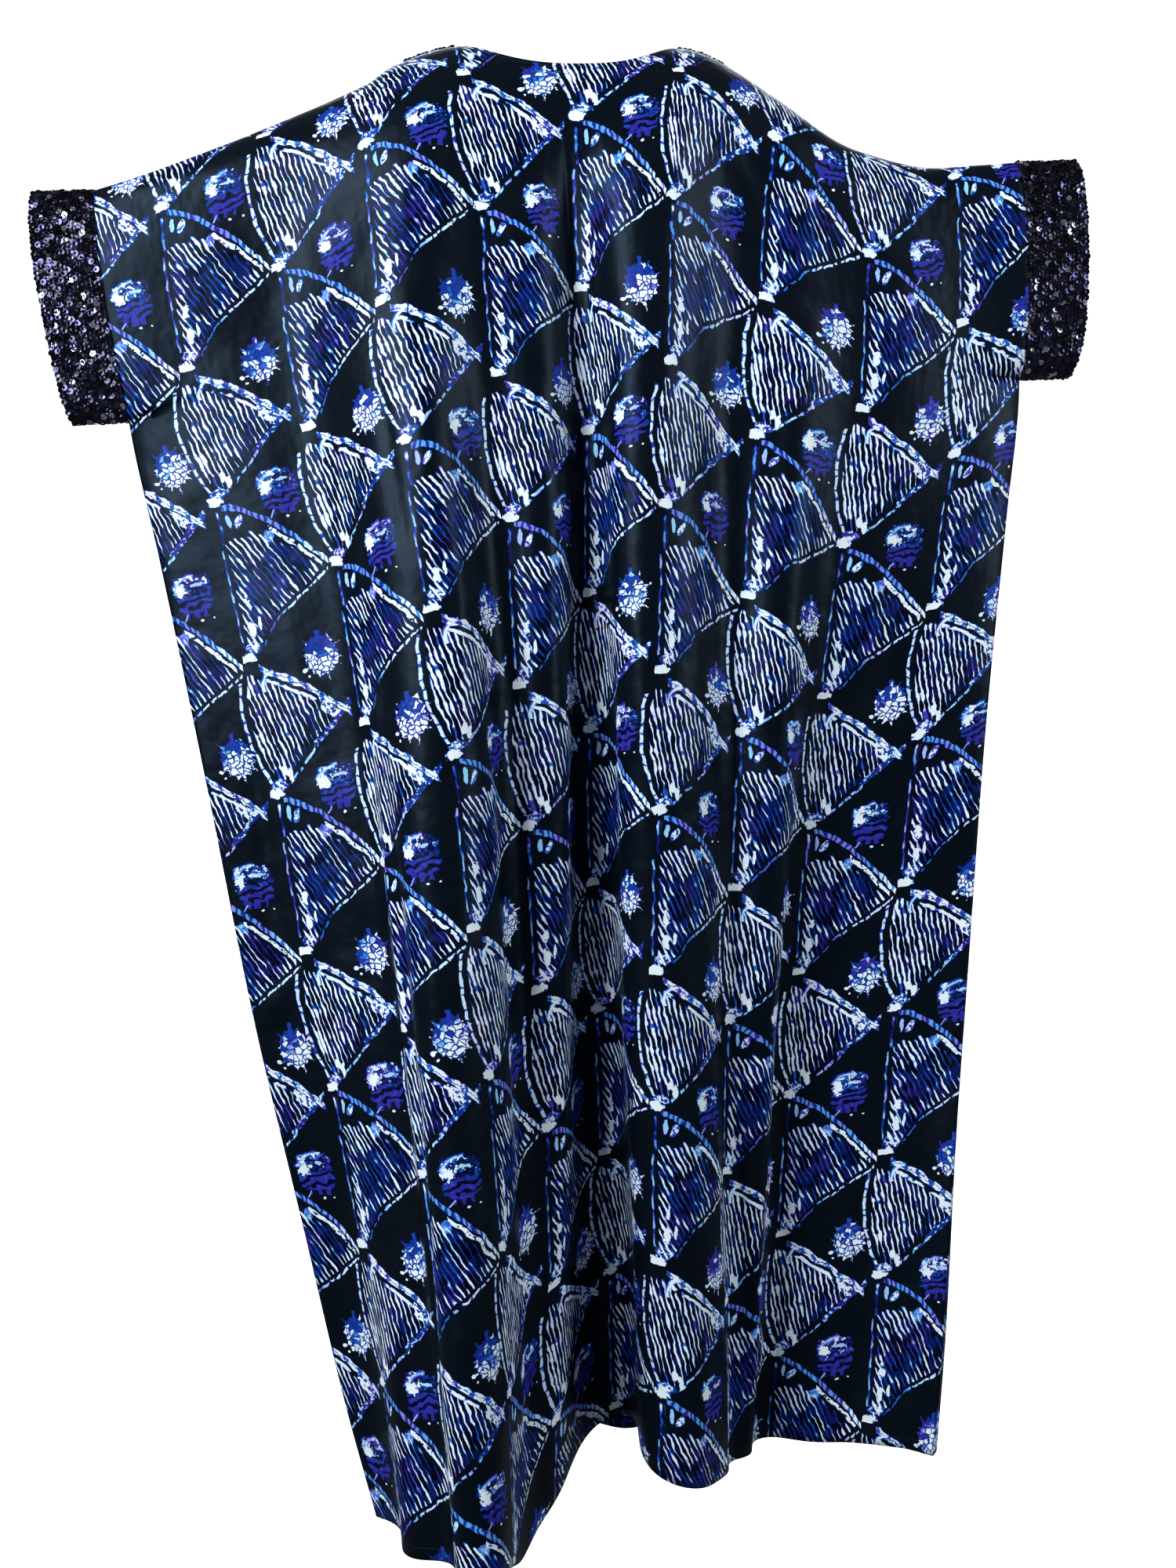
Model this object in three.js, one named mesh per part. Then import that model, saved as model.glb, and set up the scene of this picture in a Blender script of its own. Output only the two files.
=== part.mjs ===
// A kaftan dress as it hangs on a wearer whose arms are held out: a hollow garment
// of two loose panels, sewn together along the shoulders and down the sides, with a
// band of sequinned cloth round each sleeve end.
//
// Millimetres, +Z up. The origin is at the nape, midway between the neck points.
// The back panel faces -Y and the front panel +Y. +X is the right hand of someone
// who looks at the back panel.
//
// Places on the cloth:
//   across  distance from the panel's centre line, measured along the cloth
//   level   0 at the shoulder line or neck edge, 1 at the hem
//   fall    length of cloth between the shoulder line and a point
// A row is the line of cloth at one level, from the left side to the right side.
// Its points come from walking along it: a heading of 0 goes straight to +X, and
// each fold turns the heading outward and back. The folds are deepened or eased
// until the row is as wide as the dress is there, so the cloth is never stretched.

import * as THREE from 'three';

// ---- Sizes of the cut pieces -------------------------------------------------
const PANEL_WIDTH = 935;
const PANEL_LENGTH = 1430;
const SLEEVE_OPENING = 232;
const NECK_WIDTH = 210;
const CUFF_CORNER = 5;
const PANEL_WALL = 1.6;
const CUFF_WALL = 2.4;
const SEAM_GAP = 0.3;

// The cuffs. top and bottom are how wide each band shows at the shoulder line and at
// the underarm: both are twisted a little, which narrows them below.
const CUFFS = [
  { name: 'cuff_left', side: -1, top: 62, bottom: 58 },
  { name: 'cuff_right', side: 1, top: 64, bottom: 57 },
];

const HALF_WIDTH = PANEL_WIDTH / 2;
const HALF_NECK = NECK_WIDTH / 2;

// ---- How the garment hangs -----------------------------------------------------
const HEM_Z = -1388;
const SLEEVE_DEPTH_LEFT = 17;
const SLEEVE_DEPTH_RIGHT = 32;
const SHOULDER_TURN = 1.2;
const EDGE_ROUNDNESS = 12;
const SHOULDER_ZONE = 0.16;
const MOST_GATHER = 1.7;
const WRAP_LENGTH = 48;

// The shoulder line on the wearer. cut is how far the panel's sloping top edge lies
// below the neck points while the cloth is flat.
const SHOULDER = [
  { across: -467.5, x: -457, z: -109, cut: 100 },
  { across: -410, x: -401, z: -93, cut: 84 },
  { across: -311, x: -302, z: -59, cut: 57 },
  { across: -199, x: -196, z: -17, cut: 26 },
  { across: -167, x: -169, z: 0, cut: 17 },
  { across: -105, x: -108, z: 17, cut: 0 },
  { across: 0, x: 0, z: 12, cut: 0 },
  { across: 105, x: 108, z: 9, cut: 0 },
  { across: 137, x: 139, z: -1, cut: 9 },
  { across: 208, x: 198, z: -41, cut: 29 },
  { across: 278, x: 254, z: -84, cut: 49 },
  { across: 319, x: 292, z: -101, cut: 60 },
  { across: 374, x: 346, z: -115, cut: 75 },
  { across: 420, x: 390, z: -115, cut: 88 },
  { across: 467.5, x: 436, z: -115, cut: 100 },
];

// The two side edges of the body at each level, where the panels are sewn together.
const SIDES = [
  { level: 0.00, leftX: -457, leftY: 0, rightX: 436, rightY: 0 },
  { level: 0.18, leftX: -440, leftY: 0, rightX: 427, rightY: 0 },
  { level: 0.28, leftX: -420, leftY: -6, rightX: 406, rightY: 3 },
  { level: 0.44, leftX: -391, leftY: -14, rightX: 372, rightY: 8 },
  { level: 0.62, leftX: -362, leftY: -10, rightX: 339, rightY: 12 },
  { level: 0.78, leftX: -330, leftY: -2, rightX: 309, rightY: 12 },
  { level: 0.91, leftX: -304, leftY: 5, rightX: 285, rightY: 10 },
  { level: 1.00, leftX: -282, leftY: 10, rightX: 266, rightY: 8 },
];

// The form under the folds. back and front are how far the panels stand off the line
// between the sides, backEdge and frontEdge the same close to the sides, and taper how
// quickly the swelling falls off sideways. wrap is how far, in radians, the cloth turns
// round at the right seam, which brings a strip of the front into the back view.
const FORM = [
  { level: 0.00, back: 72, front: 74, backEdge: 25, frontEdge: 25, taper: 1.5, wrap: 0.0 },
  { level: 0.18, back: 72, front: 88, backEdge: 25, frontEdge: 26, taper: 1.5, wrap: 0.0 },
  { level: 0.28, back: 66, front: 104, backEdge: 27, frontEdge: 32, taper: 1.4, wrap: 0.0 },
  { level: 0.44, back: 52, front: 142, backEdge: 30, frontEdge: 43, taper: 1.2, wrap: 0.2 },
  { level: 0.62, back: 32, front: 192, backEdge: 34, frontEdge: 58, taper: 1.0, wrap: 0.6 },
  { level: 0.78, back: 14, front: 238, backEdge: 37, frontEdge: 74, taper: 0.9, wrap: 0.9 },
  { level: 0.91, back: 2, front: 278, backEdge: 40, frontEdge: 90, taper: 0.8, wrap: 1.0 },
  { level: 1.00, back: -4, front: 304, backEdge: 42, frontEdge: 100, taper: 0.8, wrap: 1.0 },
];

// The folds. top and hem are where each runs, high up and at the hem, and width is
// half the distance between its flanks at those two places. turn is the heading of
// its flanks, in radians, high up, halfway and at the hem: positive for a ridge,
// negative for a valley.
const BACK_FOLDS = [
  { name: 'left flare', top: -401, hem: -441, width: [40, 51], turn: [0.00, -0.37, -0.64] },
  { name: 'left tuck', top: -298, hem: -325, width: [36, 28], turn: [-0.10, -0.43, -1.20] },
  { name: 'left crest', top: -151, hem: -286, width: [55, 80], turn: [0.22, 0.73, 1.29] },
  { name: 'second valley', top: -109, hem: -134, width: [34, 17], turn: [-0.08, -0.60, -0.05] },
  { name: 'second ridge', top: -56, hem: -104, width: [26, 20], turn: [0.10, 0.25, 0.09] },
  { name: 'centre valley', top: -4, hem: 7, width: [17, 58], turn: [-0.55, -1.18, -1.07] },
  { name: 'centre ridge', top: 78, hem: 89, width: [42, 65], turn: [0.25, 0.32, 0.80] },
  { name: 'strip valley', top: 160, hem: 220, width: [34, 16], turn: [-0.10, -0.63, -0.95] },
  { name: 'strip ridge', top: 229, hem: 232, width: [28, 28], turn: [0.05, 0.30, 0.76] },
  { name: 'knot valley', top: 289, hem: 282, width: [26, 35], turn: [-0.05, -0.45, -0.48] },
  { name: 'right ridge', top: 326, hem: 327, width: [40, 40], turn: [0.08, -0.04, 0.41] },
  { name: 'right hollow', top: 391, hem: 325, width: [44, 94], turn: [0.00, -0.40, -0.75] },
];

const FRONT_FOLDS = [
  { name: 'left furrow', top: -345, hem: -356, width: [36, 28], turn: [-0.08, -0.36, -0.42] },
  { name: 'left roll', top: -262, hem: -292, width: [44, 34], turn: [0.16, 0.44, 0.52] },
  { name: 'left trough', top: -168, hem: -212, width: [40, 28], turn: [-0.14, -0.50, -0.62] },
  { name: 'inner roll', top: -86, hem: -132, width: [40, 36], turn: [0.14, 0.44, 0.54] },
  { name: 'middle trough', top: 4, hem: -24, width: [30, 30], turn: [-0.30, -0.52, -0.56] },
  { name: 'middle roll', top: 84, hem: 70, width: [42, 40], turn: [0.18, 0.52, 0.64] },
  { name: 'right trough', top: 172, hem: 170, width: [36, 25], turn: [-0.10, -0.46, -0.58] },
  { name: 'right roll', top: 262, hem: 252, width: [44, 38], turn: [0.14, 0.44, 0.52] },
  { name: 'right furrow', top: 342, hem: 344, width: [34, 26], turn: [-0.08, -0.34, -0.38] },
];

// Where the back hem rides up between folds.
const BACK_LIFTS = [
  { across: -164, width: 46, lift: -24 },
  { across: 17, width: 90, lift: 56 },
];

const BACK = {
  name: 'back_panel',
  outward: -1,
  depth: 'back',
  edge: 'backEdge',
  folds: BACK_FOLDS,
  lifts: BACK_LIFTS,
  neckDrop: 62,
  neckPower: 3.2,
};

const FRONT = {
  name: 'front_panel',
  outward: 1,
  depth: 'front',
  edge: 'frontEdge',
  folds: FRONT_FOLDS,
  lifts: [],
  neckDrop: 150,
  neckPower: 2,
};

// ---- How finely the surfaces are divided ---------------------------------------
const SHOULDER_COLUMNS = 25;
const NECK_COLUMNS = 14;
const SLEEVE_ROWS = 7;
const BODY_ROWS = 14;
const WALK_STEPS = 4;
const CUFF_STEPS = 14;
const CUFF_RINGS = 3;

// ---- Small helpers -------------------------------------------------------------
const clamp = (value, low, high) => Math.min(high, Math.max(low, value));

function ease(value) {
  const t = clamp(value, 0, 1);
  return t * t * (3 - 2 * t);
}

// A smooth curve through one column of a table. The slope at a row is that of the
// line between its two neighbours.
function lookUp(table, key, column, value) {
  const last = table.length - 1;
  const v = clamp(value, table[0][key], table[last][key]);
  let i = 0;
  while (i < last - 1 && v > table[i + 1][key]) {
    i += 1;
  }
  const slope = (row) => {
    const before = table[Math.max(row - 1, 0)];
    const after = table[Math.min(row + 1, last)];
    return (after[column] - before[column]) / (after[key] - before[key]);
  };
  const span = table[i + 1][key] - table[i][key];
  const t = (v - table[i][key]) / span;
  const start = (1 + 2 * t) * (1 - t) ** 2 * table[i][column];
  const end = t * t * (3 - 2 * t) * table[i + 1][column];
  const lead = t * (1 - t) ** 2 * span * slope(i);
  const tail = t * t * (t - 1) * span * slope(i + 1);
  return start + end + lead + tail;
}

// ---- The form under the folds --------------------------------------------------

// Half the depth of a sleeve: the left one hangs flatter than the right one.
function sleeveHalfDepth(across) {
  const share = ease(across / PANEL_WIDTH + 0.5);
  return SLEEVE_DEPTH_LEFT + (SLEEVE_DEPTH_RIGHT - SLEEVE_DEPTH_LEFT) * share;
}

// How far the supporting figure reaches out from the shoulder line.
function shoulderDepth(across) {
  const bell = Math.max(Math.cos((Math.PI * across) / PANEL_WIDTH), 0) ** FORM[0].taper;
  const sleeve = sleeveHalfDepth(across);
  return sleeve + (FORM[0].back - sleeve) * bell;
}

// Over the shoulder the cloth starts SHOULDER_TURN off the vertical and turns down
// evenly. turnLength is the cloth that this takes, and turnDrop how far it falls.
const turnRadius = (across) => shoulderDepth(across) / (1 - Math.cos(SHOULDER_TURN));
const turnLength = (across) => turnRadius(across) * SHOULDER_TURN;
const turnDrop = (across) => turnRadius(across) * Math.sin(SHOULDER_TURN);

function turnedShare(across, fall) {
  const left = SHOULDER_TURN * (1 - clamp(fall / turnLength(across), 0, 1));
  return {
    out: (Math.cos(left) - Math.cos(SHOULDER_TURN)) / (1 - Math.cos(SHOULDER_TURN)),
    down: 1 - Math.sin(left) / Math.sin(SHOULDER_TURN),
  };
}

function neckDrop(panel, across) {
  const share = clamp(Math.abs(across) / HALF_NECK, 0, 1);
  return panel.neckDrop * (1 - share ** panel.neckPower);
}

function clothLength(across) {
  return PANEL_LENGTH - lookUp(SHOULDER, 'across', 'cut', across);
}

function fallAt(panel, across, level) {
  const drop = neckDrop(panel, across);
  return drop + level * (clothLength(across) - drop);
}

// The flattened sleeve end is an ellipse, which closes at the underarm.
function sleeveDepth(across, fall) {
  const place = clamp(1 - (2 * fall) / SLEEVE_OPENING, -1, 1);
  return sleeveHalfDepth(across) * Math.sqrt(1 - place * place);
}

// How far the plain form stands off the line between the two sides.
function formDepth(panel, across, level) {
  const fall = fallAt(panel, across, level);
  const edge = lookUp(FORM, 'level', panel.edge, level);
  const middle = lookUp(FORM, 'level', panel.depth, level);
  const taper = lookUp(FORM, 'level', 'taper', level);
  const bell = Math.max(Math.cos((Math.PI * across) / PANEL_WIDTH), 0) ** taper;
  const swelling = (edge + (middle - edge) * bell) * turnedShare(across, fall).out;
  const nearSide = Math.abs(across / HALF_WIDTH) ** EDGE_ROUNDNESS;
  return swelling + (sleeveDepth(across, fall) - swelling) * nearSide;
}

function height(panel, across, level) {
  const fall = fallAt(panel, across, level);
  const top = lookUp(SHOULDER, 'across', 'z', across);
  const turned = turnLength(across);
  const drop = turnDrop(across);
  const hanging = (top - HEM_Z - drop) / (clothLength(across) - turned);
  let lift = 0;
  for (const row of panel.lifts) {
    lift += row.lift * Math.exp(-(((across - row.across) / row.width) ** 2));
  }
  const down = drop * turnedShare(across, fall).down + Math.max(fall - turned, 0) * hanging;
  return top - down + lift * level ** 3;
}

// ---- The folds -----------------------------------------------------------------

// A fold's turn at a level: none at the shoulder line, then its three stated turns.
function foldTurn(fold, level) {
  const stated = [
    { level: 0, turn: 0 },
    { level: 0.12, turn: fold.turn[0] },
    { level: 0.5, turn: fold.turn[1] },
    { level: 1, turn: fold.turn[2] },
  ];
  return lookUp(stated, 'level', 'turn', level);
}

function foldHeading(panel, across, level) {
  let heading = 0;
  for (const fold of panel.folds) {
    const centre = fold.top + (fold.hem - fold.top) * level;
    const width = fold.width[0] + (fold.width[1] - fold.width[0]) * level;
    const place = (across - centre) / width;
    heading -= foldTurn(fold, level) * place * Math.exp(0.5 - 0.5 * place * place);
  }
  return heading;
}

// ---- Rows ----------------------------------------------------------------------

function walk(headings, steps) {
  const path = [{ along: 0, out: 0 }];
  headings.forEach((heading, i) => {
    const here = path[i];
    path.push({
      along: here.along + Math.cos(heading) * steps[i],
      out: here.out + Math.sin(heading) * steps[i],
    });
  });
  return path;
}

function spanOf(path) {
  const end = path[path.length - 1];
  return Math.hypot(end.along, end.out);
}

function sidePoint(panel, side, level) {
  const fall = level * clothLength(side * HALF_WIDTH);
  const seamY = lookUp(SIDES, 'level', side < 0 ? 'leftY' : 'rightY', level);
  return {
    along: lookUp(SIDES, 'level', side < 0 ? 'leftX' : 'rightX', level),
    out: panel.outward * seamY + sleeveDepth(side * HALF_WIDTH, fall),
  };
}

// The row's points in the plane of x and outward, one for each place in places.
function rowPath(panel, places, level) {
  const steps = places.slice(1).map((place, i) => place - places[i]);
  const depths = places.map((place) => formDepth(panel, place, level));
  const plain = steps.map((step, i) => Math.atan2(depths[i + 1] - depths[i], step));
  const wrap = -panel.outward * lookUp(FORM, 'level', 'wrap', level);
  const middles = steps.map((step, i) => places[i] + step / 2);
  const folds = middles.map((place) => foldHeading(panel, place, level));
  const wraps = middles.map((place) => wrap * ease((place - HALF_WIDTH + WRAP_LENGTH) / WRAP_LENGTH));
  const start = sidePoint(panel, -1, level);
  const end = sidePoint(panel, 1, level);
  const width = Math.hypot(end.along - start.along, end.out - start.out);
  const gathered = (gather) => walk(plain.map((h, i) => h + wraps[i] + gather * folds[i]), steps);
  let low = 0;
  let high = MOST_GATHER;
  for (let round = 0; round < 26; round += 1) {
    const gather = (low + high) / 2;
    if (spanOf(gathered(gather)) > width) {
      low = gather;
    } else {
      high = gather;
    }
  }
  const path = gathered(high);
  const last = path[path.length - 1];
  const turn = Math.atan2(end.out - start.out, end.along - start.along) - Math.atan2(last.out, last.along);
  const scale = width / spanOf(path);
  return path.map((point) => ({
    along: start.along + scale * (point.along * Math.cos(turn) - point.out * Math.sin(turn)),
    out: start.out + scale * (point.along * Math.sin(turn) + point.out * Math.cos(turn)),
  }));
}

// A walked point in space. Close to the shoulders it settles onto the shoulder
// line, which the two panels share.
function settled(panel, across, level, walked) {
  const free = ease(level / SHOULDER_ZONE);
  const x = lookUp(SHOULDER, 'across', 'x', across);
  const out = formDepth(panel, across, level);
  return new THREE.Vector3(
    x + (walked.along - x) * free,
    panel.outward * (out + (walked.out - out) * free),
    height(panel, across, level),
  );
}

// A row of the panel, half a seam's gap away from the other panel.
function rowPoints(panel, places, level) {
  const path = rowPath(panel, places, level);
  return places.map((place, i) => {
    const point = settled(panel, place, level, path[i]);
    point.y += (panel.outward * SEAM_GAP) / 2;
    return point;
  });
}

// ---- The grid of a panel -------------------------------------------------------

function columnPlaces() {
  const shoulder = (HALF_WIDTH - HALF_NECK) / SHOULDER_COLUMNS;
  const places = [];
  for (let i = 0; i < SHOULDER_COLUMNS; i += 1) {
    places.push(-HALF_WIDTH + i * shoulder);
  }
  for (let i = 0; i < NECK_COLUMNS; i += 1) {
    places.push(-HALF_NECK + (i * NECK_WIDTH) / NECK_COLUMNS);
  }
  for (let i = 0; i <= SHOULDER_COLUMNS; i += 1) {
    places.push(HALF_NECK + i * shoulder);
  }
  return places;
}

const underarmLevel = () => SLEEVE_OPENING / clothLength(HALF_WIDTH);

function rowLevels() {
  const underarm = underarmLevel();
  const levels = [];
  for (let i = 0; i < SLEEVE_ROWS; i += 1) {
    levels.push(underarm * (i / SLEEVE_ROWS) ** 1.5);
  }
  for (let i = 0; i <= BODY_ROWS; i += 1) {
    levels.push(underarm + ((1 - underarm) * i) / BODY_ROWS);
  }
  return levels;
}

// Puts extra places between the columns, for the walk along a row.
function finePlaces(places) {
  const fine = [];
  for (let i = 0; i + 1 < places.length; i += 1) {
    for (let k = 0; k < WALK_STEPS; k += 1) {
      fine.push(places[i] + ((places[i + 1] - places[i]) * k) / WALK_STEPS);
    }
  }
  fine.push(places[places.length - 1]);
  return fine;
}

function panelGrid(panel) {
  const fine = finePlaces(columnPlaces());
  return rowLevels().map((level) => {
    const points = rowPoints(panel, fine, level);
    return points.filter((point, i) => i % WALK_STEPS === 0);
  });
}

// The direction out of the cloth at each grid point. Along the sleeve end it has no
// part along x, so that the wall's edge stays flat against the cuff.
function outwardDirections(grid, outward) {
  const rows = grid.length;
  const columns = grid[0].length;
  const underarm = underarmLevel();
  const levels = rowLevels();
  return grid.map((row, j) => row.map((point, i) => {
    const down = grid[Math.min(j + 1, rows - 1)][i].clone().sub(grid[Math.max(j - 1, 0)][i]);
    const over = row[Math.min(i + 1, columns - 1)].clone().sub(row[Math.max(i - 1, 0)]);
    const direction = down.cross(over).multiplyScalar(-outward);
    if ((i === 0 || i === columns - 1) && levels[j] < underarm + 1e-6) {
      direction.x = 0;
    }
    return direction.normalize();
  }));
}

// ---- Turning grids into walls --------------------------------------------------

class WallBuilder {
  constructor() {
    this.positions = [];
    this.indices = [];
  }

  addGrid(grid) {
    const first = this.positions.length / 3;
    grid.forEach((row) => row.forEach((point) => this.positions.push(point.x, point.y, point.z)));
    return first;
  }

  // Two triangles on four corners, parted by the line from the first to the third.
  quad(corners, flipped) {
    const [a, b, c, d] = corners;
    this.indices.push(...(flipped ? [a, c, b, a, d, c] : [a, b, c, a, c, d]));
  }

  geometry() {
    const geometry = new THREE.BufferGeometry();
    geometry.setAttribute('position', new THREE.Float32BufferAttribute(this.positions, 3));
    geometry.setIndex(this.indices);
    geometry.computeVertexNormals();
    return geometry;
  }
}

// The corners of a cell, starting where its shorter diagonal starts. Both faces of a
// wall use the inner face's diagonals, so they never cross.
function cellCorners(inner, at, j, i, next) {
  const corners = [at(j, i), at(j + 1, i), at(j + 1, next), at(j, next)];
  const falling = inner[j][i].distanceTo(inner[j + 1][next]);
  const rising = inner[j + 1][i].distanceTo(inner[j][next]);
  return falling <= rising ? corners : [corners[1], corners[2], corners[3], corners[0]];
}

// An open sheet of cloth: two faces and a rim round its four edges.
function sheetWall(inner, outer, flipped) {
  const builder = new WallBuilder();
  const lastRow = inner.length - 1;
  const lastColumn = inner[0].length - 1;
  const innerFirst = builder.addGrid(inner);
  const outerFirst = builder.addGrid(outer);
  const innerAt = (j, i) => innerFirst + j * (lastColumn + 1) + i;
  const outerAt = (j, i) => outerFirst + j * (lastColumn + 1) + i;
  for (let j = 0; j < lastRow; j += 1) {
    for (let i = 0; i < lastColumn; i += 1) {
      builder.quad(cellCorners(inner, outerAt, j, i, i + 1), flipped);
      builder.quad(cellCorners(inner, innerAt, j, i, i + 1), !flipped);
    }
    builder.quad([innerAt(j + 1, 0), outerAt(j + 1, 0), outerAt(j, 0), innerAt(j, 0)], flipped);
    const i = lastColumn;
    builder.quad([innerAt(j, i), outerAt(j, i), outerAt(j + 1, i), innerAt(j + 1, i)], flipped);
  }
  for (let i = 0; i < lastColumn; i += 1) {
    builder.quad([innerAt(0, i), outerAt(0, i), outerAt(0, i + 1), innerAt(0, i + 1)], flipped);
    const j = lastRow;
    builder.quad([innerAt(j, i + 1), outerAt(j, i + 1), outerAt(j, i), innerAt(j, i)], flipped);
  }
  return builder.geometry();
}

// A tube with a thick wall: the rings run along it, and each ring closes on itself.
function tubeWall(inner, outer, flipped) {
  const builder = new WallBuilder();
  const lastRing = inner.length - 1;
  const around = inner[0].length;
  const innerFirst = builder.addGrid(inner);
  const outerFirst = builder.addGrid(outer);
  const innerAt = (j, i) => innerFirst + j * around + i;
  const outerAt = (j, i) => outerFirst + j * around + i;
  for (let i = 0; i < around; i += 1) {
    const next = (i + 1) % around;
    for (let j = 0; j < lastRing; j += 1) {
      builder.quad(cellCorners(inner, outerAt, j, i, next), flipped);
      builder.quad(cellCorners(inner, innerAt, j, i, next), !flipped);
    }
    const j = lastRing;
    builder.quad([innerAt(0, i), outerAt(0, i), outerAt(0, next), innerAt(0, next)], flipped);
    builder.quad([innerAt(j, next), outerAt(j, next), outerAt(j, i), innerAt(j, i)], flipped);
  }
  return builder.geometry();
}

// ---- Pieces --------------------------------------------------------------------

function satin() {
  return new THREE.MeshStandardMaterial({ color: 0x14203f, roughness: 0.42, metalness: 0 });
}

function sequins() {
  return new THREE.MeshStandardMaterial({ color: 0x05060f, roughness: 0.25, metalness: 0.3 });
}

function makePanel(panel) {
  const inner = panelGrid(panel);
  const directions = outwardDirections(inner, panel.outward);
  const outer = inner.map((row, j) => row.map((point, i) => (
    point.clone().addScaledVector(directions[j][i], PANEL_WALL)
  )));
  const mesh = new THREE.Mesh(sheetWall(inner, outer, panel.outward > 0), satin());
  mesh.name = panel.name;
  return mesh;
}

// The ring round a sleeve end: down the back panel's edge and up the front panel's.
// turn runs from 0 at the shoulder line to pi at the underarm and on to two pi.
function sleeveRing(side) {
  const ring = [];
  for (let i = 0; i < 2 * CUFF_STEPS; i += 1) {
    const turn = (Math.PI * i) / CUFF_STEPS;
    const fall = (SLEEVE_OPENING * (1 - Math.cos(turn))) / 2;
    const level = fall / clothLength(side * HALF_WIDTH);
    const panel = turn <= Math.PI ? BACK : FRONT;
    const point = settled(panel, side * HALF_WIDTH, level, sidePoint(panel, side, level));
    ring.push({ turn, point });
  }
  return ring;
}

// The cuff carries the sleeve's end on outward. Its free corners are rounded off.
function makeCuff(cuff) {
  const ring = sleeveRing(cuff.side);
  const count = ring.length;
  const directions = ring.map((entry, i) => {
    const along = ring[(i + 1) % count].point.clone().sub(ring[(i + count - 1) % count].point);
    return new THREE.Vector3(0, along.z, -along.y).normalize();
  });
  const inner = [];
  const outer = [];
  for (let j = 0; j <= CUFF_RINGS; j += 1) {
    const row = ring.map((entry) => {
      const width = cuff.top + ((cuff.bottom - cuff.top) * (1 - Math.cos(entry.turn))) / 2;
      const reach = width - CUFF_CORNER * Math.abs(Math.cos(entry.turn)) ** 8;
      const out = SEAM_GAP + ((reach - SEAM_GAP) * j) / CUFF_RINGS;
      return entry.point.clone().add(new THREE.Vector3(cuff.side * out, 0, 0));
    });
    inner.push(row);
    outer.push(row.map((point, i) => point.clone().addScaledVector(directions[i], CUFF_WALL)));
  }
  const mesh = new THREE.Mesh(tubeWall(inner, outer, cuff.side > 0), sequins());
  mesh.name = cuff.name;
  return mesh;
}

const dress = new THREE.Group();
dress.add(makePanel(BACK));
dress.add(makePanel(FRONT));
CUFFS.forEach((cuff) => dress.add(makeCuff(cuff)));

export default dress;
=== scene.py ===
# %% [markdown]
# # A kaftan dress in printed satin
#
# A kaftan is one of the simplest garments to cut: two wide panels, sewn together
# along the shoulders and down the sides. Its looks come from how the cloth hangs.
# So this scene spends its effort on three things: folds that use up exactly the
# cloth there is, a print that lies on the cloth and follows those folds, and
# sequins that are small enough to count.

# %% Load the frame
import math

import bpy
import numpy as np
from mathutils import Matrix


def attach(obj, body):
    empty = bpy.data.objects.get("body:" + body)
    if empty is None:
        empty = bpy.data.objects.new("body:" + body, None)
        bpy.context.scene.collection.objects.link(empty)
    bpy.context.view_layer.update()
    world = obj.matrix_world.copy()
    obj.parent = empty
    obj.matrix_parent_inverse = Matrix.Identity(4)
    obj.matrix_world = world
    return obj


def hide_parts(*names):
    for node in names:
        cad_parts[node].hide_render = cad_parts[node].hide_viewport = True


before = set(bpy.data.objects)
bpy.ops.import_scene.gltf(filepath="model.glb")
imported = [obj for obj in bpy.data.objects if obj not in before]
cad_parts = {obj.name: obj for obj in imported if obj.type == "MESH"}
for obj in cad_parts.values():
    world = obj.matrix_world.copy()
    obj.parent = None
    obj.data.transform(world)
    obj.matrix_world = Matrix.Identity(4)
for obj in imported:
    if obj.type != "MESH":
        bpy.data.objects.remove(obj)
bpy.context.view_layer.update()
MM = 0.001
print("nodes:", sorted(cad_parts))

# %% [markdown]
# ## The camera
#
# The camera comes first, because everything after it is judged through it. It looks
# at the back of the dress, a little from the left, and is rolled by four degrees.
# The lens is set for a frame that is 2000 pixels high.

# %% Camera
CAMERA_YAW = math.radians(5)
CAMERA_ROLL = math.radians(4)
CAMERA_DISTANCE = 1.5
CAMERA_AIM = np.array([-0.030, 0.0, -0.700])
FOCAL_PIXELS = 1974
FRAME_HEIGHT = 2000
SENSOR_HEIGHT = 36


def put(data, place, axes):
    """A camera or a light in the scene. axes are its own x, y and z directions."""
    thing = bpy.data.objects.new(data.name, data)
    pose = np.eye(4)
    pose[:3, :3] = np.array(axes).T
    pose[:3, 3] = place
    thing.matrix_world = Matrix(pose.tolist())
    bpy.context.scene.collection.objects.link(thing)
    return thing


def make_camera():
    """The camera's axes are its right, up and backward directions."""
    forward = np.array([math.sin(CAMERA_YAW), math.cos(CAMERA_YAW), 0.0])
    level = np.array([math.cos(CAMERA_YAW), -math.sin(CAMERA_YAW), 0.0])
    up = np.array([0.0, 0.0, 1.0])
    cos, sin = math.cos(CAMERA_ROLL), math.sin(CAMERA_ROLL)
    data = bpy.data.cameras.new("Camera")
    data.sensor_fit = "VERTICAL"
    data.sensor_height = SENSOR_HEIGHT
    data.lens = SENSOR_HEIGHT * FOCAL_PIXELS / FRAME_HEIGHT
    axes = (cos * level - sin * up, sin * level + cos * up, -forward)
    return put(data, CAMERA_AIM - CAMERA_DISTANCE * forward, axes)


camera = make_camera()
bpy.context.scene.camera = camera
print("lens", round(camera.data.lens, 2), "mm")
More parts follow.
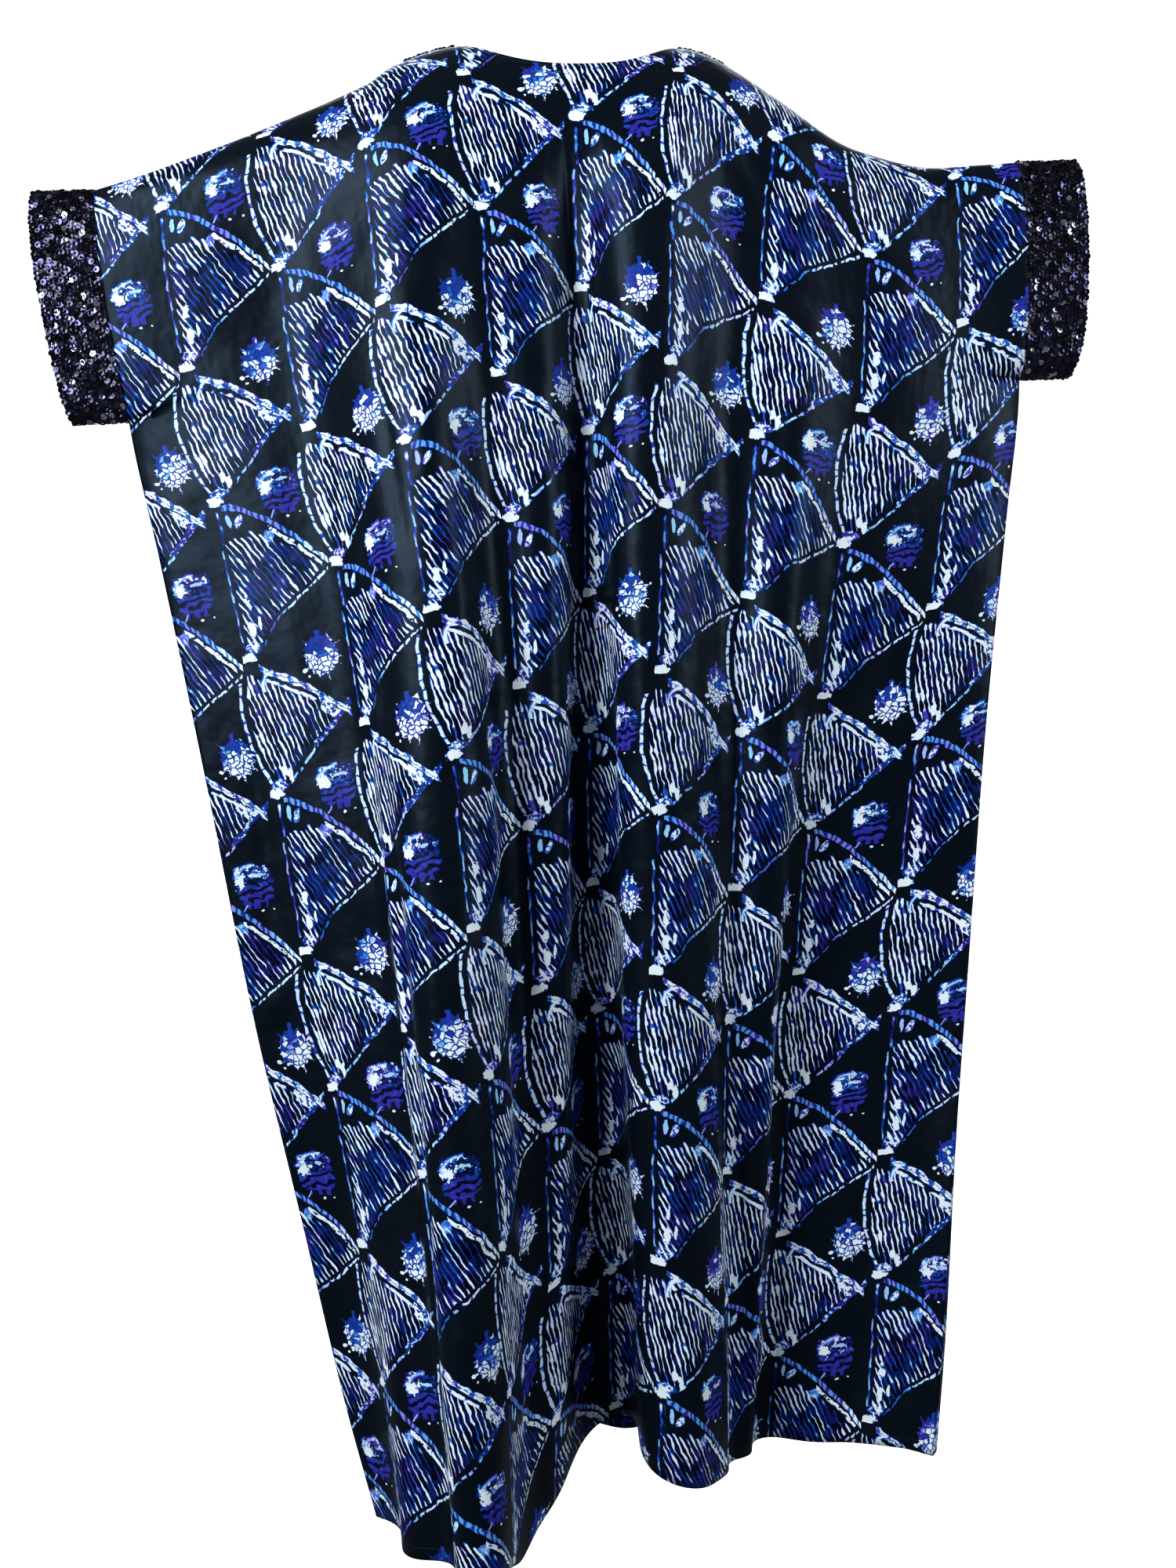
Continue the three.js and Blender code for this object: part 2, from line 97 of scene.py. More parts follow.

# %% [markdown]
# ## The cut and how it hangs
#
# All lengths below are in millimetres. A place on the cloth has two numbers: across,
# measured from the panel's centre line, and level, which is 0 at the top edge and 1
# at the hem. Each table gives a few rows, and a smooth curve is drawn through
# them.

# %% Sizes
PANEL_WIDTH = 935
PANEL_LENGTH = 1430
SLEEVE_OPENING = 232
NECK_WIDTH = 210
HALF_WIDTH = PANEL_WIDTH / 2
HALF_NECK = NECK_WIDTH / 2
CUFF_CORNER = 5
HEM_Z = -1388
SLEEVE_DEPTH_LEFT = 17
SLEEVE_DEPTH_RIGHT = 32
SHOULDER_TURN = 1.2
EDGE_ROUNDNESS = 12
SHOULDER_ZONE = 0.16
SLEEVE_REACH = 0.72
MOST_GATHER = 1.7
GATHER_STEPS = 26
WRAP_LENGTH = 48
HALF_SEAM_GAP = 0.15


def table(columns, rows):
    """A table as a dictionary of numpy columns."""
    return dict(zip(columns.split(), np.array(rows, float).T))


# The shoulder line on the wearer. cut is how far the sloping top edge lies below the
# neck points while the cloth is flat.
SHOULDER = table("across x z cut", [
    (-467.5, -457, -109, 100),
    (-410, -401, -93, 84),
    (-311, -302, -59, 57),
    (-199, -196, -17, 26),
    (-167, -169, 0, 17),
    (-105, -108, 17, 0),
    (0, 0, 12, 0),
    (105, 108, 9, 0),
    (137, 139, -1, 9),
    (208, 198, -41, 29),
    (278, 254, -84, 49),
    (319, 292, -101, 60),
    (374, 346, -115, 75),
    (420, 390, -115, 88),
    (467.5, 436, -115, 100),
])

# The two side seams of the body.
SIDES = table("level left_x left_y right_x right_y", [
    (0.00, -457, 0, 436, 0),
    (0.18, -440, 0, 427, 0),
    (0.28, -420, -6, 406, 3),
    (0.44, -391, -14, 372, 8),
    (0.62, -362, -10, 339, 12),
    (0.78, -330, -2, 309, 12),
    (0.91, -304, 5, 285, 10),
    (1.00, -282, 10, 266, 8),
])

# The form under the folds: how far each panel stands off the line between the sides,
# in the middle and near the edges, how quickly that tapers, and how far the cloth
# turns round at the right seam.
FORM = table("level back front back_edge front_edge taper wrap", [
    (0.00, 72, 74, 25, 25, 1.5, 0.0),
    (0.18, 72, 88, 25, 26, 1.5, 0.0),
    (0.28, 66, 104, 27, 32, 1.4, 0.0),
    (0.44, 52, 142, 30, 43, 1.2, 0.2),
    (0.62, 32, 192, 34, 58, 1.0, 0.6),
    (0.78, 14, 238, 37, 74, 0.9, 0.9),
    (0.91, 2, 278, 40, 90, 0.8, 1.0),
    (1.00, -4, 304, 42, 100, 0.8, 1.0),
])

# The folds. A fold runs from top to hem, is twice width_top and twice width_hem
# broad, and its flanks turn by 0, high, half and low radians at the FOLD_LEVELS.
# Positive turns make a ridge and negative ones a valley.
FOLD_LEVELS = np.array([0, 0.12, 0.5, 1])
FOLD_COLUMNS = "top hem width_top width_hem high half low"
BACK_FOLDS = table(FOLD_COLUMNS, [
    (-401, -441, 40, 51, 0.00, -0.37, -0.64),
    (-298, -325, 36, 28, -0.10, -0.43, -1.20),
    (-151, -286, 55, 80, 0.22, 0.73, 1.29),
    (-109, -134, 34, 17, -0.08, -0.60, -0.05),
    (-56, -104, 26, 20, 0.10, 0.25, 0.09),
    (-4, 7, 17, 58, -0.55, -1.18, -1.07),
    (78, 89, 42, 65, 0.25, 0.32, 0.80),
    (160, 220, 34, 16, -0.10, -0.63, -0.95),
    (229, 232, 28, 28, 0.05, 0.30, 0.76),
    (289, 282, 26, 35, -0.05, -0.45, -0.48),
    (326, 327, 40, 40, 0.08, -0.04, 0.41),
    (391, 325, 44, 94, 0.00, -0.40, -0.75),
])
FRONT_FOLDS = table(FOLD_COLUMNS, [
    (-345, -356, 36, 28, -0.08, -0.36, -0.42),
    (-262, -292, 44, 34, 0.16, 0.44, 0.52),
    (-168, -212, 40, 28, -0.14, -0.50, -0.62),
    (-86, -132, 40, 36, 0.14, 0.44, 0.54),
    (4, -24, 30, 30, -0.30, -0.52, -0.56),
    (84, 70, 42, 40, 0.18, 0.52, 0.64),
    (172, 170, 36, 25, -0.10, -0.46, -0.58),
    (262, 252, 44, 38, 0.14, 0.44, 0.52),
    (342, 344, 34, 26, -0.08, -0.34, -0.38),
])
BACK_LIFTS = table("across width lift", [(-164, 46, -24), (17, 90, 56)])
FRONT_LIFTS = table("across width lift", [(0, 1, 0)])

BACK = {
    "outward": -1, "depth": "back", "edge": "back_edge", "folds": BACK_FOLDS,
    "lifts": BACK_LIFTS, "neck_drop": 62, "neck_power": 3.2,
}
FRONT = {
    "outward": 1, "depth": "front", "edge": "front_edge", "folds": FRONT_FOLDS,
    "lifts": FRONT_LIFTS, "neck_drop": 150, "neck_power": 2,
}

# %% [markdown]
# ## The hanging cloth as formulas
#
# Cloth folds but hardly stretches. So a row of the panel is found by walking along
# it: each step has the length that the cloth has there, and only its heading
# changes. The heading comes from the body's form plus all the folds, and the folds
# are eased or deepened until the row is as wide as the dress. Numpy walks all rows
# at once.

# %% Formulas
def ease(value):
    """3 t^2 - 2 t^3, with t held between 0 and 1: a soft step."""
    t = np.clip(value, 0, 1)
    return t * t * (3 - 2 * t)


def look_up(columns, key, column, value):
    """A cubic Hermite curve through a table's column. The slope at each row is that
    of the line between its two neighbours."""
    keys, heights = columns[key], columns[column]
    last = len(keys) - 1
    value = np.clip(value, keys[0], keys[-1])
    i = np.clip(np.searchsorted(keys, value, side="left") - 1, 0, last - 1)
    before = np.maximum(np.arange(last + 1) - 1, 0)
    after = np.minimum(np.arange(last + 1) + 1, last)
    slope = (heights[after] - heights[before]) / (keys[after] - keys[before])
    span = keys[i + 1] - keys[i]
    t = (value - keys[i]) / span
    ends = (1 + 2 * t) * (1 - t) ** 2 * heights[i] + t * t * (3 - 2 * t) * heights[i + 1]
    return ends + span * (t * (1 - t) ** 2 * slope[i] + t * t * (t - 1) * slope[i + 1])


def sleeve_half_depth(across):
    """Half the depth of a sleeve: the left one hangs flatter than the right one."""
    share = ease(across / PANEL_WIDTH + 0.5)
    return SLEEVE_DEPTH_LEFT + (SLEEVE_DEPTH_RIGHT - SLEEVE_DEPTH_LEFT) * share


def bell(across, power):
    """cos(pi a / width) ^ power: 1 at the centre line and 0 at the sides."""
    return np.maximum(np.cos(np.pi * across / PANEL_WIDTH), 0) ** power


def turn_radius(across):
    """Radius of the arc on which the cloth turns down over the shoulder."""
    sleeve = sleeve_half_depth(across)
    reach = sleeve + (FORM["back"][0] - sleeve) * bell(across, FORM["taper"][0])
    return reach / (1 - math.cos(SHOULDER_TURN))


def turned_share(across, fall):
    """How much of the shoulder's reach outward and down the arc has done."""
    left = SHOULDER_TURN * (1 - np.clip(fall / (turn_radius(across) * SHOULDER_TURN), 0, 1))
    out = (np.cos(left) - math.cos(SHOULDER_TURN)) / (1 - math.cos(SHOULDER_TURN))
    return out, 1 - np.sin(left) / math.sin(SHOULDER_TURN)


def neck_drop(panel, across):
    """How far the neckline is cut below the top edge: drop (1 - share ^ power),
    where share runs from 0 at the centre line to 1 at the neck point."""
    share = np.clip(np.abs(across) / HALF_NECK, 0, 1)
    return panel["neck_drop"] * (1 - share ** panel["neck_power"])


def cut_below(across):
    """How far the flat panel's top edge lies below the neck points."""
    return look_up(SHOULDER, "across", "cut", across)


def cloth_length(across):
    """Length of the flat panel from its top edge to the hem."""
    return PANEL_LENGTH - cut_below(across)


def fall_at(panel, across, level):
    """Length of cloth between the shoulder line and a point."""
    drop = neck_drop(panel, across)
    return drop + level * (cloth_length(across) - drop)


def sleeve_depth(across, fall):
    """The sleeve's end is a flat ellipse, which closes at the underarm."""
    place = np.clip(1 - 2 * fall / SLEEVE_OPENING, -1, 1)
    return sleeve_half_depth(across) * np.sqrt(1 - place * place)


def form_depth(panel, across, level, sleeve=1.0):
    """How far the plain form stands off the line between the two sides. sleeve is 0
    for a form without the sleeves' ends."""
    fall = fall_at(panel, across, level)
    edge = look_up(FORM, "level", panel["edge"], level)
    middle = look_up(FORM, "level", panel["depth"], level)
    taper = look_up(FORM, "level", "taper", level)
    swelling = (edge + (middle - edge) * bell(across, taper)) * turned_share(across, fall)[0]
    near_side = np.abs(across / HALF_WIDTH) ** EDGE_ROUNDNESS
    return swelling + (sleeve * sleeve_depth(across, fall) - swelling) * near_side


def height(panel, across, level):
    """z of a point: down the shoulder's arc, and then evenly to the hem."""
    fall = fall_at(panel, across, level)
    top = look_up(SHOULDER, "across", "z", across)
    turned = turn_radius(across) * SHOULDER_TURN
    drop = turn_radius(across) * math.sin(SHOULDER_TURN)
    hanging = (top - HEM_Z - drop) / (cloth_length(across) - turned)
    down = drop * turned_share(across, fall)[1] + np.maximum(fall - turned, 0) * hanging
    lifts = panel["lifts"]
    bumps = lifts["lift"] * np.exp(-(((across[..., None] - lifts["across"]) / lifts["width"]) ** 2))
    return top - down + bumps.sum(-1) * level ** 3


def fold_heading(panel, across, level):
    """Sum over the folds of -turn p exp(1/2 - p^2/2), where p is the distance from
    the fold's line in fold widths."""
    folds = {name: column[:, None, None] for name, column in panel["folds"].items()}
    turns = np.stack([panel["folds"][name] for name in ("high", "half", "low")], 1)
    turn = np.stack([
        look_up({"level": FOLD_LEVELS, "turn": np.array([0, *row])}, "level", "turn", level)
        for row in turns
    ])
    centre = folds["top"] + (folds["hem"] - folds["top"]) * level
    width = folds["width_top"] + (folds["width_hem"] - folds["width_top"]) * level
    place = (across - centre) / width
    return -(turn * place * np.exp(0.5 - 0.5 * place * place)).sum(0)


def side_point(panel, side, level, sleeve=1.0):
    """The seam's x, and its distance outward, at a level."""
    name = "left" if side < 0 else "right"
    edge = np.full_like(level, side * HALF_WIDTH)
    out = panel["outward"] * look_up(SIDES, "level", name + "_y", level)
    out = out + sleeve * sleeve_depth(edge, level * cloth_length(edge))
    return look_up(SIDES, "level", name + "_x", level), out


def walk(heading, steps):
    """Points from a heading and a length for each step, as running sums."""
    along = np.cumsum(np.cos(heading) * steps, axis=1)
    out = np.cumsum(np.sin(heading) * steps, axis=1)
    return np.pad(along, ((0, 0), (1, 0))), np.pad(out, ((0, 0), (1, 0)))


def row_paths(panel, across, level, sleeve=1.0):
    """x and outward distance of every row, for a column of levels."""
    steps = np.diff(across)
    middles = (across[:-1] + steps / 2)[None]
    form = form_depth(panel, across[None], level, sleeve)
    plain = np.arctan2(np.diff(form, axis=1), steps)
    wrap = -panel["outward"] * look_up(FORM, "level", "wrap", level)
    plain = plain + wrap * ease((middles - HALF_WIDTH + WRAP_LENGTH) / WRAP_LENGTH)
    folds = fold_heading(panel, middles, level)
    start_x, start_out = side_point(panel, -1, level, sleeve)
    end_x, end_out = side_point(panel, 1, level, sleeve)
    width = np.hypot(end_x - start_x, end_out - start_out)
    low = np.zeros_like(level)
    high = np.full_like(level, MOST_GATHER)
    for _ in range(GATHER_STEPS):
        gather = (low + high) / 2
        x, out = walk(plain + gather * folds, steps)
        wide = np.hypot(x[:, -1:], out[:, -1:]) > width
        low = np.where(wide, gather, low)
        high = np.where(wide, high, gather)
    x, out = walk(plain + high * folds, steps)
    turn = np.arctan2(end_out - start_out, end_x - start_x) - np.arctan2(out[:, -1:], x[:, -1:])
    scale = width / np.hypot(x[:, -1:], out[:, -1:])
    cos, sin = np.cos(turn) * scale, np.sin(turn) * scale
    return start_x + x * cos - out * sin, start_out + x * sin + out * cos


def panel_points(panel, across, level):
    """Points of the CAD wall's inner face, for a row of places and a column of
    levels. Near the shoulders they settle onto the line that both panels share. A
    sleeve's end shuts abruptly at the underarm, so it only shapes the cloth near it."""
    x, out = row_paths(panel, across, level)
    body_x, body_out = row_paths(panel, across, level, sleeve=0.0)
    near = ease((np.abs(across) / HALF_WIDTH - SLEEVE_REACH) / (1 - SLEEVE_REACH))
    x, out = body_x + (x - body_x) * near, body_out + (out - body_out) * near
    free = ease(level / SHOULDER_ZONE)
    places = np.broadcast_to(across, x.shape)
    shoulder_x = look_up(SHOULDER, "across", "x", places)
    shoulder_out = form_depth(panel, places, level)
    out = shoulder_out + (out - shoulder_out) * free
    x = shoulder_x + (x - shoulder_x) * free
    return np.stack([x, panel["outward"] * (out + HALF_SEAM_GAP), height(panel, places, level)], -1)


half_row = row_paths(BACK, np.linspace(-HALF_WIDTH, HALF_WIDTH, 241), np.array([[0.5]]))
print("right seam at half height:", [round(path[0, -1], 1) for path in half_row])

# %% [markdown]
# ## Creases
#
# The folds above are the big hanging ones. Worn satin also has small ones: the edge
# of a fold that laps over, short pulls at the underarm, soft breaks where a fold
# changes its mind. Each row of these tables is one such crease. It runs from one
# place on the cloth to another, bows sideways, and pushes the cloth out (a ridge)
# or in (a trough) by depth. before and after are its widths on its left and right
# side, so that a crease can be sharp on one side only.

# %% Creases
CREASE_COLUMNS = "across_1 fall_1 across_2 fall_2 bow before after depth"
BACK_CREASES = table(CREASE_COLUMNS, [
    (-12, 120, -14, 350, 2, 5, 6, -3.5),
    (8, 215, 14, 380, 2, 7, 10, 2.6),
    (-190, 240, -190, 470, 5, 8, 14, 2.4),
    (-214, 300, -212, 520, -4, 9, 8, -2.0),
    (-150, 330, -165, 560, 3, 12, 9, -1.8),
    (190, 230, 190, 410, -4, 10, 9, 2.2),
    (214, 260, 212, 470, 3, 8, 9, -1.8),
    (132, 106, 205, 190, 4, 12, 10, 1.8),
    (-104, 96, -142, 250, -4, 10, 12, 1.8),
    (-286, 560, -330, 1290, 6, 12, 5, 4.2),
    (-273, 640, -315, 1250, 6, 5, 12, -3.6),
    (-240, 800, -262, 1000, 3, 9, 12, 2.4),
    (-322, 600, -338, 800, -3, 10, 12, 2.4),
    (-172, 480, -194, 680, 4, 8, 14, 2.2),
    (-96, 520, -118, 1080, -5, 8, 8, -2.6),
    (70, 560, 84, 760, 3, 10, 12, 2.4),
    (42, 600, 40, 900, -4, 12, 8, -1.8),
    (188, 540, 208, 1010, -3, 5, 8, -3.2),
    (205, 980, 238, 1400, 3, 5, 6, -3.6),
    (262, 980, 268, 1410, 2, 6, 12, 3.0),
    (288, 700, 282, 1110, -12, 5, 6, -3.4),
    (308, 760, 302, 1080, -10, 9, 12, 2.6),
    (350, 380, 362, 700, 4, 14, 12, -1.6),
    (402, 640, 398, 900, -4, 12, 14, 1.8),
    (-465, 342, -392, 312, 5, 14, 12, 1.8),
    (-462, 372, -405, 356, -4, 12, 12, -1.3),
    (-458, 300, -410, 296, 3, 11, 10, -1.0),
    (-467, 830, -404, 802, 4, 7, 8, 2.4),
    (-466, 852, -420, 834, 3, 7, 6, -1.8),
    (-250, 1098, -208, 1082, 3, 6, 6, 2.0),
    (-272, 1180, -236, 1142, -3, 7, 6, 2.0),
    (-258, 1206, -220, 1188, 3, 6, 6, -1.6),
    (452, 300, 404, 330, 4, 14, 12, 1.4),
    (458, 338, 418, 372, -3, 12, 12, -1.2),
    (-8, 1240, 10, 1420, 3, 10, 8, 3.0),
    (26, 1180, 44, 1410, 4, 12, 12, -1.8),
    (-60, 640, -70, 900, 4, 9, 9, 1.8),
    (-420, 560, -432, 760, 3, 10, 8, -1.8),
    (380, 1080, 372, 1400, 6, 14, 10, -1.8),
    (345, 1120, 340, 1390, -4, 10, 10, 1.6),
])
FRONT_CREASES = table(CREASE_COLUMNS, [
    (-104, 170, -150, 330, 5, 10, 12, 2.0),
    (106, 170, 158, 340, -5, 12, 10, 2.0),
    (2, 190, -6, 420, 3, 8, 9, -2.6),
    (-176, 300, -196, 640, 4, 9, 9, -2.4),
    (-268, 380, -284, 760, -4, 9, 13, 2.4),
    (-348, 520, -352, 900, 3, 8, 9, -2.2),
    (84, 420, 78, 800, 4, 12, 8, 2.4),
    (176, 380, 172, 860, -4, 7, 8, -2.6),
    (258, 460, 254, 900, 5, 10, 13, 2.2),
    (344, 600, 342, 1000, -3, 8, 8, -2.2),
    (-22, 760, -26, 1200, 4, 7, 9, -2.6),
    (-128, 800, -134, 1300, -4, 9, 12, 2.4),
    (-214, 900, -208, 1390, 3, 6, 8, -2.8),
    (64, 900, 68, 1380, -4, 11, 9, 2.2),
    (168, 980, 172, 1400, 3, 6, 8, -2.8),
    (250, 1000, 248, 1390, -3, 10, 9, 2.2),
    (-465, 338, -396, 308, 4, 9, 8, 2.4),
    (463, 340, 400, 312, -4, 8, 9, 2.4),
    (-455, 372, -410, 352, -3, 7, 8, -2.0),
    (458, 376, 414, 350, 3, 8, 7, -2.0),
    (-60, 470, -20, 452, 3, 7, 6, 1.6),
    (120, 610, 158, 640, -3, 7, 7, 1.6),
    (-300, 1010, -262, 990, 3, 7, 6, 1.8),
    (396, 760, 432, 790, -3, 7, 7, 1.8),
])
SEAM_FADE = 22
END_FADE = 0.3


def crease_depth(creases, across, fall):
    """Sum over the creases of depth exp(-(d/w)^2) fade(t), where t runs along the
    crease, d is the distance from its bowed line and w the width on that side."""
    total = np.zeros(np.broadcast(across, fall).shape)
    for row in zip(*creases.values()):
        across_1, fall_1, across_2, fall_2, bow, before, after, depth = row
        length = math.hypot(across_2 - across_1, fall_2 - fall_1)
        run = np.array([across_2 - across_1, fall_2 - fall_1]) / length
        t = ((across - across_1) * run[0] + (fall - fall_1) * run[1]) / length
        d = (across - across_1) * run[1] - (fall - fall_1) * run[0]
        d = d - bow * 4 * t * (1 - t)
        width = np.where(d < 0, before, after)
        total += depth * np.exp(-((d / width) ** 2)) * ease(t / END_FADE) * ease((1 - t) / END_FADE)
    side = ease((HALF_WIDTH - np.abs(across)) / SEAM_FADE)
    return total * side * ease(fall / SEAM_FADE)


print("creases:", len(BACK_CREASES["bow"]), "back,", len(FRONT_CREASES["bow"]), "front")

# %% [markdown]
# ## Mesh helpers
#
# A surface is a grid of points. Blender takes the whole grid at once through
# foreach_set, which is far quicker than adding vertices one by one. The UV map
# stores where each point lies on the flat cloth, in metres, so a print drawn in
# that map follows every fold as real printed cloth does.

# %% Mesh helpers
def unit(vectors):
    """Vectors of length 1 with the same directions."""
    return vectors / np.linalg.norm(vectors, axis=-1, keepdims=True)


def run_along(points):
    """The length of a line of points up to each of them."""
    return np.concatenate([[0], np.cumsum(np.linalg.norm(np.diff(points, axis=0), axis=1))])


def between(places, keys, points):
    """Points at places along a line whose own points lie at keys."""
    return np.stack([np.interp(places, keys, points[:, k]) for k in range(3)], -1)


def copies(template, quads, centre, axes):
    """A small template at every centre, turned to that centre's own three axes."""
    points = centre[:, None] + np.einsum("pk,nkd->npd", template, np.stack(axes, 1))
    faces = quads[None] + np.arange(len(centre))[:, None, None] * len(template)
    return points.reshape(-1, 3), faces.reshape(-1, 4)


def new_mesh(name, points, faces, uv=None, values=None):
    """An object from points in millimetres, faces with one number of corners, a UV
    per point and named numbers per face."""
    mesh = bpy.data.meshes.new(name)
    faces = np.asarray(faces, np.int32)
    mesh.vertices.add(len(points))
    mesh.vertices.foreach_set("co", (np.asarray(points) * MM).astype(np.float32).ravel())
    mesh.loops.add(faces.size)
    mesh.loops.foreach_set("vertex_index", faces.ravel())
    mesh.polygons.add(len(faces))
    mesh.polygons.foreach_set("loop_start", np.arange(0, faces.size, faces.shape[1], dtype=np.int32))
    mesh.update(calc_edges=True)
    if uv is not None:
        layer = mesh.uv_layers.new(name="Cloth")
        layer.uv.foreach_set("vector", (uv[faces.ravel()] * MM).astype(np.float32).ravel())
    for label, numbers in (values or {}).items():
        layer = mesh.attributes.new(label, "FLOAT", "FACE")
        layer.data.foreach_set("value", np.asarray(numbers, np.float32))
    mesh.validate()
    mesh.polygons.foreach_set("use_smooth", np.ones(len(mesh.polygons), bool))
    piece = bpy.data.objects.new(name, mesh)
    bpy.context.scene.collection.objects.link(piece)
    return piece


def grid_faces(rows, columns, flipped=False, closed=False):
    """Quads between the points of a grid. A closed grid joins its last column to
    its first."""
    j, i = np.mgrid[0:rows - 1, 0:columns - (0 if closed else 1)]
    a, b = j * columns + i, (j + 1) * columns + i
    c, d = (j + 1) * columns + (i + 1) % columns, j * columns + (i + 1) % columns
    faces = np.stack([a, b, c, d], -1).reshape(-1, 4)
    return faces[:, ::-1] if flipped else faces


def outward_normals(points, outward):
    """Unit normals of a grid, from the cross product of its two directions."""
    down = np.gradient(points, axis=0)
    over = np.gradient(points, axis=1)
    return unit(np.cross(down, over) * -outward)


def thicken(piece, thickness, materials):
    """Gives a shell its cloth thickness. The inner face takes the second material."""
    for material in materials:
        piece.data.materials.append(material)
    solidify = piece.modifiers.new("Cloth thickness", "SOLIDIFY")
    solidify.thickness = thickness * MM
    solidify.offset = 0
    solidify.use_even_offset = False
    solidify.material_offset = 1
    return piece


# %% [markdown]
# ## Drawing with Math nodes
#
# The print is drawn by the shader, not by an image, so it stays sharp at any
# distance. Each motif is a formula in millimetres on the cloth. To keep the
# formulas readable, a Field wraps the output of a node, and ordinary arithmetic on
# Fields adds Math nodes. The other helpers make nodes, groups and materials, with
# their settings by name.

# %% Fields
def connect(slot, value):
    """Feeds an input from a Field or a socket, or sets it to a plain value."""
    if isinstance(value, Field):
        value = value.socket
    if isinstance(value, bpy.types.NodeSocket):
        slot.id_data.links.new(value, slot)
    else:
        slot.default_value = value


def new_node(tree, kind, **settings):
    """A shader node, with its properties and inputs by name."""
    node = tree.nodes.new("ShaderNode" + kind)
    for name, value in settings.items():
        label = name.replace("_", " ").title()
        if label in node.inputs:
            connect(node.inputs[label], value)
        else:
            setattr(node, name, value)
    return node


class Field:
    """A number that varies over a surface."""

    def __init__(self, tree, socket):
        self.tree = tree
        self.socket = socket

    def math(self, operation, *others):
        """One Math node over this field and the others."""
        node = new_node(self.tree, "Math", operation=operation)
        for slot, value in zip(node.inputs, (self, *others)):
            connect(slot, value)
        return Field(self.tree, node.outputs[0])

    def __add__(self, other):
        return self.math("ADD", other)

    def __sub__(self, other):
        return self.math("SUBTRACT", other)

    def __mul__(self, other):
        return self.math("MULTIPLY", other)

    def __rsub__(self, other):
        return self.math("MULTIPLY_ADD", -1.0, other)

    def __truediv__(self, other):
        return self.math("DIVIDE", other)

    def __pow__(self, other):
        return self.math("POWER", other)

    def __abs__(self):
        return self.math("ABSOLUTE")

    def wrap(self, low, high):
        """The field, started again at low each time that it reaches high."""
        return self.math("WRAP", high, low)

    def edge(self, start, end, before=0.0, after=1.0):
        """before until start, after from end on, and straight between them."""
        node = new_node(
            self.tree, "MapRange", value=self, from_min=start, from_max=end, to_min=before, to_max=after,
        )
        return Field(self.tree, node.outputs["Result"])

    def within(self, low, high, soft=0.0):
        """1 between low and high, with edges that are soft or, at 0, sharp."""
        middle, half = (low + high) / 2, (high - low) / 2
        if not soft:
            return self.math("COMPARE", middle, half)
        return abs(self - middle).edge(half + soft, half - soft)

    def about(self, amount):
        """A noise that runs from 0 to 1, as one from -amount / 2 to amount / 2."""
        return self.math("MULTIPLY_ADD", amount, -amount / 2)


def most(*fields):
    """The largest of several fields. A plain number may stand last."""
    result = fields[0]
    for field in fields[1:]:
        result = result.math("MAXIMUM", field)
    return result


def position(x, y):
    """Two fields as one vector."""
    return new_node(x.tree, "CombineXYZ", x=x, y=y).outputs[0]


def split(vector):
    """A vector's or a colour's first two numbers as fields."""
    tree = vector.id_data
    parts = new_node(tree, "SeparateXYZ", vector=vector).outputs
    return Field(tree, parts[0]), Field(tree, parts[1])


def noise(vector, **settings):
    """The outputs of a 2D noise: its height and its colour."""
    return new_node(vector.id_data, "TexNoise", noise_dimensions="2D", vector=vector, **settings).outputs


def cloud(vector, **settings):
    """The height of a 2D noise, which runs from 0 to 1."""
    return Field(vector.id_data, noise(vector, **settings)[0])


def new_group(name, inputs, output_kinds):
    """A node group with inputs and outputs of the given kinds: its tree, the
    sockets that bring its inputs, and the slots that take its outputs."""
    tree = bpy.data.node_groups.new(name, "ShaderNodeTree")
    for way, kinds in (("INPUT", inputs), ("OUTPUT", output_kinds)):
        for label, kind in kinds.items():
            tree.interface.new_socket(label, in_out=way, socket_type="NodeSocket" + kind)
    return tree, tree.nodes.new("NodeGroupInput").outputs, tree.nodes.new("NodeGroupOutput").inputs


def new_material(name, finish):
    """A material with a Principled shader, whose inputs finish sets by label."""
    material = bpy.data.materials.new(name)
    material.use_nodes = True
    shader = material.node_tree.nodes["Principled BSDF"]
    for label, value in finish.items():
        shader.inputs[label].default_value = value
    return material, material.node_tree, shader


def colour_ramp(factor, stops):
    """A colour for each value of a field. A stop is a place, red, green and blue."""
    node = new_node(factor.tree, "ValToRGB")
    elements = node.color_ramp.elements
    for _ in range(len(stops) - 2):
        elements.new(0.5)
    for element, (place, *colour) in zip(elements, stops):
        element.position = place
        element.color = (*colour, 1)
    connect(node.inputs[0], factor)
    return node.outputs["Color"]

# %% [markdown]
# ## The print
#
# The cloth carries the kind of pattern that wax and paste resists leave: fans of
# wavy stripes, tied by small white knots, with round bursts and combs in the gaps.
# Where the resist cracked, dye crept in, so each white mark has a blue halo. One
# number, ink, holds that whole story: 0 is the dark ground, then navy, blue and
# cyan, up to 1 for bare white cloth. The pattern repeats every 285 mm down the
# cloth and every second column of 100 mm.

# %% Print
COLUMN = 100
REPEAT = 285
HALF_DROP = 82
FIRST_KNOT = -402
BULGE = 20
BOW_START = 18
BOW_END = 112
TIP_START = -7
BROAD_LENGTH = 133
ROW_SLANT = 0.035
ROW_START = 4
DRIFT = 4.6
BROAD_STRIPE_PITCH = 5.2
SLIM_STRIPE_PITCH = 5.7
BURST_PLACE = (68, 7)
BURST_SPIKES = 17
COMB_PLACE = (60, 129)
SHARD_SIZE = 5.2

